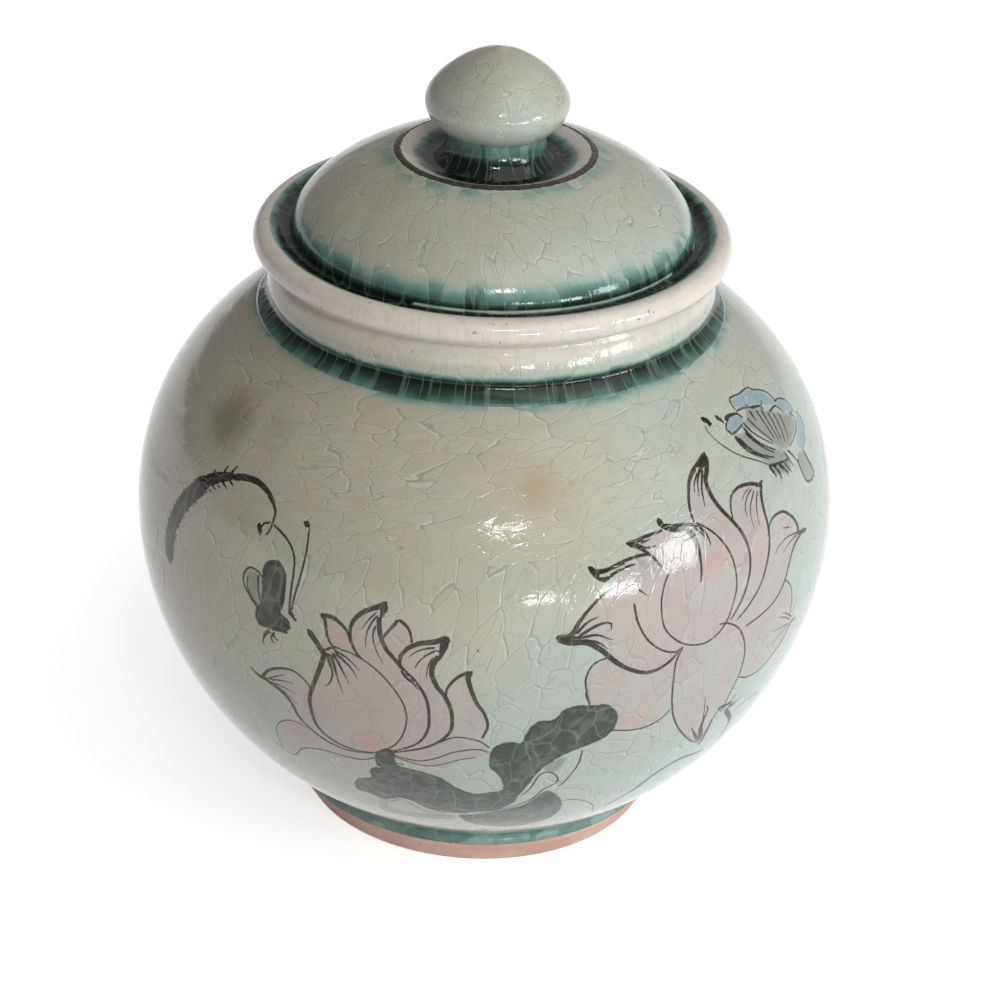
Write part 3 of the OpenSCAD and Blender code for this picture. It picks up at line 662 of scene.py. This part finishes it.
# Where iron is laid on thin
IRON_THIN = {
    "leaf": [
        [(-19.3, 27.6), (-17, 29.6), (-16.5, 28.3), (-18.4, 23.1), (-19.8, 22.9)],
        [(-19.8, 25.5), (-14.2, 24.5), (-5.7, 26), (-3.3, 24.5), (-6, 22.5), (-14.9, 21.3),
         (-19.7, 20.9)],
        [(11.1, 45.4), (13, 46.7), (14.8, 47.3), (14.6, 44), (13.1, 42.2), (11.7, 43.3)],
    ],
    "blue butterfly": [
        [(60.1, 107), (64.1, 106.3), (67.7, 104.2), (72, 101.8), (74.5, 100), (73.4, 98.2),
         (70.3, 97.4), (67.4, 97.1), (65.1, 97.6), (63.3, 99.5), (61.1, 101.8), (58.8, 104.1),
         (56.8, 105.5), (59.8, 106)],
        [(53.7, 104.6), (57.4, 104.3), (60.1, 100.9), (64.2, 98), (66.1, 95.9), (65.1, 93.5),
         (61.3, 94.2), (59.3, 95.2), (58.8, 97.3), (56.6, 99.6), (54.1, 102.1)],
        [(69.7, 95), (72.5, 93.5), (73.4, 89), (72, 88), (69.4, 88.9), (68.2, 90.8), (68, 93.2)],
    ],
    "dark butterfly": [
        [(-39.7, 80.4), (-38.9, 82.1), (-36.7, 81.8), (-36, 79.6), (-35.9, 75.3), (-36.9, 74.8),
         (-38.7, 77)],
    ],
    "grass": [
        [(-88.4, 83.9), (-88.4, 86.3), (-79.7, 87.7), (-73.4, 87.1), (-67.9, 87.3), (-61.1, 87.4),
         (-67.5, 85.4), (-74.1, 83.9), (-82.4, 81.6)],
    ],
}
# Where cobalt is laid on
COBALT = {
    "blue butterfly": [
        [(54, 107.2), (56.4, 107.6), (58.9, 106.6), (57.6, 105.5), (54.9, 105.2), (53.4, 105.2),
         (53, 106.2)],
        [(59.5, 109.4), (62.2, 109.3), (65.4, 108.9), (69.6, 107.2), (71.7, 104.7), (74.4, 103.6),
         (76.2, 101.6), (75.3, 100.5), (71.6, 102.6), (70.2, 104.1), (66.1, 105.8), (62.6, 106.9),
         (58.6, 107.9), (58.4, 108.8)],
        [(77, 99.6), (78.1, 97.2), (75.9, 95.6), (73.5, 94.5), (70.8, 94.4), (70.8, 96.5), (73.9, 97.9)],
    ],
}
# Where the pink is strongest: a place, its reach and its strength
BLUSH = {
    "small lotus": [
        ((-18.4, 48.7), 3.8, 1),
        ((-21.6, 74.4), 2.5, 0.9),
        ((-10, 57.9), 2.9, 0.35),
        ((-31, 43.9), 3.8, 0.5),
        ((-13.1, 64.3), 3.4, 0.2),
        ((-1.1, 60.3), 2.5, 0.1),
    ],
    "large lotus": [
        ((39.6, 85.6), 3.7, 1),
        ((32.3, 82.1), 2.6, 0.5),
        ((32.3, 69.4), 3.2, 0.5),
        ((42.2, 92.5), 2.6, 0.4),
        ((25.7, 54.9), 3.2, 0.9),
        ((35.6, 47.6), 2.6, 0.3),
        ((48.5, 82.9), 3.2, 0.35),
        ((56.2, 75.5), 2.6, 0.25),
        ((25.9, 75.5), 3.2, 0.3),
    ],
}
# Where the petals are left pale
PALE = {
    "small lotus": [
        ((-30.1, 61), 3.4, 0.7),
        ((-23.2, 64), 2.5, 0.4),
        ((-15.4, 73.1), 2.5, 0.3),
        ((-8, 73.3), 2.9, 0.3),
        ((-2.4, 67.1), 2.5, 0.5),
        ((-0.3, 51), 2.5, 0.5),
    ],
    "large lotus": [
        ((37, 60.7), 3.7, 0.5),
        ((23.1, 63.6), 3.2, 0.3),
        ((50.8, 60.7), 3.7, 0.3),
    ],
}


def flowing(points, per_step=4, closed=False):
    """A smooth path through the points of a brush line, or round the edge of a painted shape."""
    p = np.array(points, float)
    if closed:
        p = np.vstack([p[-1], p, p[0], p[1]])
    else:
        p = np.vstack([2 * p[0] - p[1], p, 2 * p[-1] - p[-2]])
    t = np.linspace(0, 1, per_step, endpoint=False)[:, None]
    path = []
    for a, b, c, d in zip(p[:-3], p[1:-2], p[2:-1], p[3:]):
        bend = (2 * a - 5 * b + 4 * c - d) * t**2 + (3 * b - 3 * c + d - a) * t**3
        path.append(0.5 * (2 * b + (c - a) * t + bend))
    if not closed:
        path.append(p[-2][None])
    return np.vstack(path)


def bristles(blade):
    """The short lines that fringe the thick part of the blade of grass, as a splayed brush leaves them."""
    mm_in_degree = 74 * math.pi / 180
    seen_width = math.cos(math.radians(20))
    rows, share_missing = 23, 0.18
    root_width, tip_width = 0.4, 0.1
    random = np.random.default_rng(4)
    spots = np.linspace(0, len(blade) - 1, rows)
    path = np.stack([np.interp(spots, range(len(blade)), np.array(blade)[:, i]) for i in (0, 1)], 1)
    lines = []
    for i in range(1, len(path) - 1):
        ahead = (path[i + 1] - path[i - 1]) * (mm_in_degree * seen_width, 1)
        ahead /= np.hypot(*ahead)
        reach = 2.1 - 1.1 * i / len(path)
        for side in (1, -1):
            if random.random() < share_missing:
                continue
            out = np.array([-ahead[1], ahead[0]]) * side
            root = out * reach * 0.6
            tip = out * (reach + random.uniform(0.5, 1.2)) + ahead * random.uniform(1.0, 1.8)
            spread = np.array([root, (root + tip) / 2, tip]) / (mm_in_degree, 1)
            lines.append((root_width, tip_width, np.round(path[i] + spread, 1)))
    return lines


def draw_lines(piece, lines):
    """Writes each face's two nearest brush lines to its corners, as distance across and half width."""
    mesh = piece.data
    co = listed(mesh.vertices, "co", 3) * 1000
    start = listed(mesh.polygons, "loop_start", 1, int)
    normal = listed(mesh.polygons, "normal", 3)
    middle = listed(mesh.polygons, "center", 3) * 1000
    corner_point = listed(mesh.loops, "vertex_index", 1, int)
    skin = np.interp(middle[:, 2], outside[:, 1], outside[:, 0]) - 2
    paintable = (listed(mesh.polygons, "loop_total", 1, int) == 4) & (np.hypot(*middle[:, :2].T) > skin)
    far, margin, near_enough, taper = 9.0, 3.0, 1.4, 1.2
    near = np.full((2, len(mesh.polygons)), far)
    data = np.zeros((2, len(mesh.loops), 3), np.float32)
    data[:, :, 0] = far
    for begin, end, points in lines:
        around, up = flowing(points).T
        r = np.interp(up, outside[:, 1], outside[:, 0])
        path = np.stack([r * np.sin(np.radians(around)), -r * np.cos(np.radians(around)), up], 1)
        widths = np.linspace(begin, end, len(path))
        beside = (middle > path.min(0) - margin) & (middle < path.max(0) + margin)
        faces = np.nonzero(paintable & np.all(beside, axis=1))[0]
        if not len(faces):
            continue
        a = path[:-1]
        length = np.maximum(np.linalg.norm(path[1:] - a, axis=1), 1e-6)
        along = (path[1:] - a) / length[:, None]
        rel = middle[faces][:, None] - a[None]
        t = np.clip((rel * along[None]).sum(2) / length, 0, 1)
        gap = np.linalg.norm(rel - along[None] * (t * length)[..., None], axis=2)
        gap = gap - (widths[:-1] + np.diff(widths) * t)
        which = gap.argmin(1)
        gap = gap[np.arange(len(faces)), which]
        close = gap < near_enough
        faces, which, gap = faces[close], which[close], gap[close]
        corners = start[faces][:, None] + np.arange(4)
        side = np.cross(normal[faces], along[which])
        side /= np.linalg.norm(side, axis=1)[:, None]
        rel = co[corner_point[corners]] - a[which][:, None]
        across = (rel * side[:, None]).sum(2)
        t = (rel * along[which][:, None]).sum(2) / length[which][:, None]
        wide = widths[which][:, None] + np.diff(widths)[which][:, None] * np.clip(t, 0, 1)
        past_end = np.where(which[:, None] == len(a) - 1, np.maximum(t - 1, 0), 0)
        past_start = np.where(which[:, None] == 0, np.maximum(-t, 0), 0)
        wide = wide - (past_end + past_start) * length[which][:, None] * taper
        new = np.stack([across, wide, np.zeros_like(wide)], 2)
        first = gap < near[0, faces]
        moved = corners[first]
        data[1, moved] = data[0, moved]
        near[1, faces[first]] = near[0, faces[first]]
        data[0, moved] = new[first]
        near[0, faces[first]] = gap[first]
        second = ~first & (gap < near[1, faces])
        data[1, corners[second]] = new[second]
        near[1, faces[second]] = gap[second]
    for rank, name in enumerate(("line_one", "line_two")):
        layer = mesh.attributes.new(name, "FLOAT_VECTOR", "CORNER")
        layer.data.foreach_set("vector", data[rank].ravel())


def inside_shapes(shapes):
    """How many millimetres each point is inside the nearest painted shape, below 0 where it's outside."""
    depth = np.full(len(radius), -9.0)
    for shape in shapes:
        path = flowing(shape, 3, closed=True)
        mid = path.mean(0)
        wide = math.radians(1) * np.interp(path[:, 1], outside[:, 1], outside[:, 0])
        slope = np.interp(mid[1], (10, 30, 69, 100, 118), (1.45, 1.25, 1.0, 1.25, 1.9))
        turn = (azimuth - mid[0] + 180) % 360 - 180
        near = is_out & (np.abs(turn) < np.ptp(path[:, 0]) / 2 + 12)
        near &= (height > path[:, 1].min() - 6) & (height < path[:, 1].max() + 6)
        chosen = np.nonzero(near)[0]
        p = np.stack([np.radians(turn[chosen]) * radius[chosen], (height[chosen] - mid[1]) * slope], 1)
        q = np.stack([(path[:, 0] - mid[0]) * wide, (path[:, 1] - mid[1]) * slope], 1)
        seg = np.roll(q, -1, 0) - q
        rel = p[:, None] - q[None]
        t = np.clip((rel * seg).sum(2) / np.maximum((seg**2).sum(1), 1e-9), 0, 1)
        away = np.linalg.norm(rel - seg[None] * t[..., None], axis=2).min(1)
        crosses = (q[None, :, 1] > p[:, None, 1]) != ((q + seg)[None, :, 1] > p[:, None, 1])
        rise = np.where(np.abs(seg[:, 1]) < 1e-9, 1e-9, seg[:, 1])
        at = q[:, 0] + seg[:, 0] * (p[:, None, 1] - q[:, 1]) / rise
        odd = (crosses & (p[:, None, 0] < at)).sum(1) % 2 == 1
        depth[chosen] = np.maximum(depth[chosen], np.where(odd, away, -away))
    return depth


def soft_spots(spots):
    """A soft dab of colour for each (place, reach in millimetres, strength)."""
    total = np.zeros(len(radius))
    for (around, up), reach, strength in spots:
        turn = np.radians((azimuth - around + 180) % 360 - 180) * radius
        away = np.hypot(turn, (height - up) * 1.2) / reach
        total = np.maximum(total, strength * np.exp(-away**2 * 1.4) * is_out)
    return total


# The photograph shows the front. The back repeats the main motifs, turned round by these degrees.
BACK_TURN = {
    "small lotus": 172,
    "leaf": 172,
    "large lotus": 172,
    "blue butterfly": 180,
    "dark butterfly": 156,
}


def round_jar(motifs):
    """Each item of the painting with its turn: all for the front, and the main ones again for the back."""
    front = [(item, 0) for items in motifs.values() for item in items]
    return front + [(item, BACK_TURN[name]) for name in motifs if name in BACK_TURN for item in motifs[name]]


def turned(spots, turn):
    """Places moved round the jar by some degrees."""
    return [(around + turn, up) for around, up in spots]


BRUSH_LINES["grass"] += bristles(BRUSH_LINES["grass"][0][2] + BRUSH_LINES["grass"][1][2][2:])
draw_lines(jar, [(begin, end, turned(spots, turn)) for (begin, end, spots), turn in round_jar(BRUSH_LINES)])
for name, motifs in (("petals", PETALS), ("leaf", IRON_THICK), ("wash", IRON_THIN), ("blue", COBALT)):
    mark(jar, name, inside_shapes([turned(shape, turn) for shape, turn in round_jar(motifs)]))
for name, motifs in (("blush", BLUSH), ("pale", PALE)):
    mark(jar, name, soft_spots([(turned([dab[0]], turn)[0], *dab[1:]) for dab, turn in round_jar(motifs)]))
mark(jar, "stain", soft_spots([((-56, 104), 9, 0.9), ((-44, 106), 8, 0.35), ((-64, 98), 8, 0.3)]))
mark(jar, "ochre", soft_spots([((9, 104.5), 6, 0.9), ((4, 106), 8, 0.45), ((13, 103), 5, 0.5)]))


def painting(r, body):
    """The brush painting under the glaze, with the grain of pigment on clay."""
    fine = r.noise(r.mm, 0.35, 3.0, 0.7) - 0.5
    loose = r.noise(r.mm, 2.6) - 0.5
    grain = r.noise(r.mm, 0.55, 3.0, 0.75)
    body = r.mix(r.read("ochre"), body, srgb(160, 146, 114))
    body = r.mix(r.step(r.read("stain") + loose * 0.5, 0.1, 1.0, 0.0, 0.62), body, srgb(98, 88, 70))
    petals = r.step(r.read("petals") + loose * 0.8, -0.25, 0.5) * (1.0 - r.read("pale") * 0.75)
    petals = petals * r.step(r.noise(r.mm, 6.5), 0.3, 0.65, 0.62, 1.0)
    pink = r.mix(r.noise(r.mm, 9.0), srgb(178, 160, 156), srgb(162, 150, 148))
    pink = r.mix(r.read("blush") * 0.8, pink, srgb(188, 130, 130))
    body = r.mix(petals * 0.78, body, pink)
    cobalt = r.mix(r.noise(r.mm, 2.2), srgb(78, 120, 146), srgb(140, 170, 178))
    body = r.mix(r.step(r.read("blue") + loose * 0.7, -0.2, 0.7, 0.0, 0.7), body, cobalt)
    thin_iron = r.mix(grain, srgb(88, 92, 88), srgb(128, 130, 124))
    body = r.mix(r.step(r.read("wash") + loose * 0.9, -0.2, 0.8, 0.0, 0.62), body, thin_iron)
    leaf = r.read("leaf")
    iron = r.mix(r.step(grain, 0.35, 0.7), srgb(28, 34, 29), srgb(54, 62, 55))
    iron = r.mix(r.step(r.noise(r.mm, 3.2, 3.0, 0.6), 0.42, 0.62, 0.0, 0.6), iron, srgb(84, 96, 86))
    iron = r.mix(r.step(leaf, 0.1, 1.2, 0.7, 0.0), iron, srgb(22, 26, 22))
    body = r.mix(r.step(leaf + loose * 0.9 + fine * 0.5, -0.15, 0.25, 0.0, 0.96), body, iron)
    ink = r.mix(r.step(grain, 0.3, 0.8), srgb(20, 17, 15), srgb(50, 43, 38))
    for name in ("line_one", "line_two"):
        line = r.read(name, "Vector")
        across = r.put("ShaderNodeSeparateXYZ", {}, {0: line}, 0)
        wide = r.put("ShaderNodeSeparateXYZ", {}, {0: line}, 1)
        left = wide + fine * 0.30 + loose * 0.10 - abs(across) + 0.03
        body = r.mix(r.step(left, -0.06, 0.12, 0.0, 0.95), body, ink)
    return body


jar.data.materials.append(celadon("painted_celadon", painting))
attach(jar, "jar")
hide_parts("jar_wall")

# Neck
# The short neck, thrown as a ring and luted on: a soft bead, then a rounded lip wiped nearly bare for
# the lid to sit on. The glaze runs off it and gathers in the crease below.
neck_outline = join(
    [(40.5, 118.2), (40.5, 127.0)],
    round_edge((41.5, 127.0), 1.0, 180, 90),
    round_edge((43.52, 126.0), 2.0, 90, 0),
    curve((45.52, 126.0), (47.12, 123.6), (47.44, 119.9), (46.5, 119.3), 16),
    curve((46.5, 119.3), (46.3, 118.6), (47.6, 117.2), (49.4, 116.05), 8),
    [(48.9, 115.2)],
)
neck = thrown("neck_ring", even(neck_outline, 0.5), 360)
radius_n, height_n, _ = places(neck)
below_bead = np.clip((121.4 - height_n) / 2.2, 0, 1)
fading_out = np.clip(1 - (radius_n - 46.6) / 7.5, 0, 1)
mark(neck, "pool_and_shade", np.where(radius_n > 43, below_bead * fading_out, 0))
mark(neck, "thin", np.clip((height_n - 120.5) / 5.0, 0, 0.95))
crackle_sheet(neck, height_n, [(0, 70, 0, 0), (119, 70, 0, 0), (128, 70, 5, 0)])
neck.data.materials.append(celadon("neck_celadon", cooler=0.3))
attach(neck, "jar")
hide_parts("neck_collar")

# Lid
# The thrown lid: a rolled brim, a gutter where the glaze lies deepest, a dome, and a raised ring with a
# brown iron line around the well of the knob. Its underside was wiped nearly clean of glaze.
seat = (36.1, 128.2)
brim_under = curve((47.25, 128.2), (48.87, 128.2), (49.95, 129.62), (49.95, 131.05), 12)
brim_over = curve((49.95, 131.05), (49.95, 132.48), (48.87, 133.9), (47.25, 133.9), 12)
gutter = curve((47.25, 133.9), (44.87, 133.9), (44.86, 132.2), (43.0, 132.2), 12)
gutter_turn = curve((43.0, 132.2), (42.2, 132.2), (41.97, 132.5), (41.95, 133.1), 6)
dome_top = curve((41.95, 133.1), (41.95, 140.57), (28.65, 147.79), (20.7, 149.95), 40)
ring_crest = curve((20.7, 149.95), (20.2, 150.35), (19.8, 150.35), (19.2, 150.0), 6)
well_wall = curve((19.2, 150.0), (17.0, 149.46), (15.9, 148.2), (13.7, 148.2), 10)
dome_under = inward(dome_top, wall)
dome_under = dome_under[(dome_under[:, 0] < 35.7) & (dome_under[:, 1] > 129)]
lid_edge = join([seat], brim_under, brim_over, gutter, gutter_turn)
lid_outer = join(lid_edge, dome_top, ring_crest, well_wall, [(11, 148.2)])
lid_inner = join([(0, 143.7), (13.7, 143.7)], dome_under[::-1], [seat])
lid = thrown("lid_dome_glazed", join(even(lid_inner, 1.6), even(lid_outer, 0.5)), 360)
radius_l, height_l, _ = places(lid)
dome_skin = np.interp(radius_l, dome_top[::-1, 0], dome_top[::-1, 1])
on_top = (radius_l > 42) | (height_l > dome_skin - 1.5) | (height_l > 147.9)
under_lid = (height_l < 129.6) | ~on_top
up_dome = np.clip(1.0 - (height_l - 133.0) / 7.0, 0, 1) ** 1.3 * (radius_l < 43.9)
gutter_pool = np.maximum(np.clip(1.25 - np.abs(radius_l - 43.9) / 2.6, 0, 1), up_dome)
ring_pool = 0.28 * np.clip(1 - (radius_l - 22.4) / 4.0, 0, 1) * (radius_l > 21.2)
well_pool = np.clip(1.0 - (radius_l - 14.6) / 3.0, 0, 1)
top_pool = np.where(radius_l > 20.6, np.maximum(gutter_pool, ring_pool), well_pool)
mark(lid, "pool_and_shade", np.where(under_lid | (radius_l > 46.4), 0, top_pool))
brim_thin = np.clip((radius_l - 46.0) / 0.8, 0, 1)
ring_thin = np.clip(1 - np.abs(radius_l - 18.9) / 3.0, 0, 1) ** 0.5 * (radius_l < 22.0)
mark(lid, "thin", np.where(under_lid, 1.0, np.maximum(brim_thin, ring_thin)))
mark(lid, "from_ring", np.where(on_top & (height_l > 147), radius_l - 20.3, 9.0))
crackle_sheet(lid, radius_l, [(0, 22, 0, 0), (20, 30, 4, 0), (45, 52, 8, 12), (50, 56, 10, 12)])


def iron_line(r, body):
    """The brown line brushed round the raised ring."""
    left = (r.noise(r.mm, 0.9) - 0.5) * 0.7 + 0.78 - abs(r.read("from_ring"))
    return r.mix(r.step(left, -0.1, 0.15, 0.0, 0.95), body, srgb(24, 12, 9))


lid.data.materials.append(celadon("lid_celadon", iron_line, 0.42))
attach(lid, "lid")
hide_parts("lid_dome")

# Locating ring
# The bare ring under the lid, thrown with it, which drops into the neck and keeps the lid from
# sliding off. Its edges are rounded with a wet sponge.
locating_outline = join(
    [(36.1, 128.2), (36.1, 120.2)],
    round_edge((37.1, 120.2), 1.0, 180, 270),
    round_edge((38.3, 120.2), 1.0, 270, 360),
    [(39.3, 128.2)],
)
locating = thrown("locating_ring_clay", even(locating_outline, 0.8), 240)
locating.data.materials.append(bare_clay("lid_clay", srgb(226, 196, 176), srgb(206, 166, 142)))
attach(locating, "lid")
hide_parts("locating_ring")

# Knob
# The onion-shaped knob, thrown on its own, set on the lid with slip, and glazed with it. The glaze
# runs down the stem and fills the well.
stem = curve((12.9, 148.05), (11.6, 149.3), (10.5, 150.4), (10.35, 152.9), 12)
crease_turn = curve((10.35, 152.9), (10.3, 154.1), (10.75, 154.6), (11.7, 155.35), 6)
bulb_angle = np.radians(np.linspace(-38.5, 0, 16))
bulb_low = np.stack([14.95 * np.cos(bulb_angle), 160.8 + 8.9 * np.sin(bulb_angle)], 1)
bulb_up = curve((14.95, 160.8), (14.95, 164.72), (7.77, 170.6), (2.4, 171.7), 24)
tip = curve((2.4, 171.7), (1.5, 172.0), (0.75, 172.4), (0, 172.45), 6)
knob = thrown("knob_glazed", even(join(stem, crease_turn, bulb_low, bulb_up, tip), 0.5), 180)
_, height_k, _ = places(knob)
stem_pool = np.clip((155.4 - height_k) / 6.0 + 0.25, 0, 1)
under_bulb = 0.22 * np.clip(1 - (height_k - 156) / 4, 0, 1)
mark(knob, "pool_and_shade", np.where(height_k < 156.2, stem_pool, under_bulb))
mark(knob, "thin", 0.12 * np.clip((height_k - 168) / 3, 0, 1))
crackle_sheet(knob, height_k, [(148, 20, 0, 0), (155, 20, 3, 0), (161, 24, 6, 0), (173, 6, 14, 0)])
knob.data.materials.append(celadon("knob_celadon", cooler=0.5))
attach(knob, "lid")
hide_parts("knob")

# Table
# A wide pale table, which keeps the jar's shadow and is close to white where the camera sees it.
half_table = 9.0
table_corners = [(x * half_table, y * half_table, 0) for x, y in ((-1, -1), (1, -1), (1, 1), (-1, 1))]
table_mesh = bpy.data.meshes.new("table")
table_mesh.from_pydata(table_corners, [], [(0, 1, 2, 3)])
table = bpy.data.objects.new("table", table_mesh)
bpy.context.scene.collection.objects.link(table)
table_paint = Recipe("table_paint")


def seen_rays(r):
    """1 for the rays that show white: what the camera sees, straight, mirrored or through something."""
    seen = r.put("ShaderNodeLightPath", {}, {}, "Is Camera Ray")
    for name in ("Is Glossy Ray", "Is Transmission Ray"):
        seen = r.math("MAXIMUM", seen, r.put("ShaderNodeLightPath", {}, {}, name))
    return seen


table_paint.feed(Base_Color=(0.8, 0.8, 0.8, 1), Roughness=0.95, Specular_IOR_Level=0.1)
table_paint.feed(Emission_Color=(1, 1, 1, 1), Emission_Strength=seen_rays(table_paint) * 0.65)
table.data.materials.append(table_paint.material)

# Sky and lamps
# A soft white room that is dimmer on the left. It shows white to the camera, and four windows and a
# lamp give the glaze something to mirror.
world = bpy.data.worlds.new("sky")
bpy.context.scene.world = world
world.use_nodes = True
sky = world.node_tree
rays = sky.nodes.new("ShaderNodeLightPath").outputs
either = sky.nodes.new("ShaderNodeMath")
either.operation = "MAXIMUM"
sky.links.new(rays["Is Camera Ray"], either.inputs[0])
sky.links.new(rays["Is Transmission Ray"], either.inputs[1])
way = sky.nodes.new("ShaderNodeTexCoord")
split = sky.nodes.new("ShaderNodeSeparateXYZ")
sky.links.new(way.outputs["Generated"], split.inputs[0])
room = sky.nodes.new("ShaderNodeMapRange")
room.interpolation_type = "SMOOTHSTEP"
sky.links.new(split.outputs[0], room.inputs["Value"])
for key, value in (("From Min", -0.9), ("From Max", 0.4), ("To Min", 0.13), ("To Max", 0.44)):
    room.inputs[key].default_value = value
strength = sky.nodes.new("ShaderNodeMapRange")
sky.links.new(room.outputs[0], strength.inputs["To Min"])
sky.links.new(either.outputs[0], strength.inputs["Value"])
sky.links.new(strength.outputs[0], sky.nodes["Background"].inputs["Strength"])
sky.nodes["Background"].inputs["Color"].default_value = (1, 1, 1, 1)


def pane(name, around, up, far, wide, tall, glow, colour):
    """A pane of light at degrees round and up from the jar, with its size in degrees and its glow."""
    data = bpy.data.lights.new(name, "AREA")
    data.shape = "RECTANGLE"
    data.size = 2 * far * math.tan(math.radians(wide) / 2)
    data.size_y = 2 * far * math.tan(math.radians(tall) / 2)
    data.energy = glow * math.pi * data.size * data.size_y
    data.color = colour
    light = bpy.data.objects.new(name, data)
    bpy.context.scene.collection.objects.link(light)
    a, e = math.radians(around), math.radians(up)
    way_out = Vector((math.sin(a) * math.cos(e), -math.cos(a) * math.cos(e), math.sin(e)))
    light.location = Vector((0, 0, 0.09)) + far * way_out
    light.rotation_euler = (-way_out).to_track_quat("-Z", "Y").to_euler()


daylight = (0.92, 0.97, 1.0)
pane("lamp_high", 8, 34, 1.6, 11, 5, 30, (1.0, 0.95, 0.88))
pane("pane_low", 19, 2, 1.8, 9, 5, 24, daylight)
pane("pane_middle", 43, 1, 1.8, 13, 7, 22, daylight)
pane("pane_right", 65, 8, 1.8, 14, 13, 15, daylight)
pane("room", 48, 50, 2.4, 60, 45, 1.15, (1.0, 0.99, 0.97))

# Camera
# Where the photograph was taken from: about 0.7 m off, looking down at 29 degrees.
camera_data = bpy.data.cameras.new("camera")
camera_data.sensor_width = 36
camera_data.lens = 113.42
camera_data.clip_end = 30
camera = bpy.data.objects.new("camera", camera_data)
bpy.context.scene.collection.objects.link(camera)
pitch, yaw, roll = 0.50073, 0.00509, 0.0361
ahead = Vector((math.sin(yaw) * math.cos(pitch), math.cos(yaw) * math.cos(pitch), -math.sin(pitch)))
level = Vector((math.cos(yaw), -math.sin(yaw), 0))
upright = level.cross(ahead)
to_right = math.cos(roll) * level + math.sin(roll) * upright
to_top = math.cos(roll) * upright - math.sin(roll) * level
turned = Matrix((to_right, to_top, -ahead)).transposed()
camera.matrix_world = Matrix.Translation((0.000325, -0.60129, 0.39714)) @ turned.to_4x4()
bpy.context.scene.camera = camera
bpy.context.scene.view_settings.view_transform = "Standard"
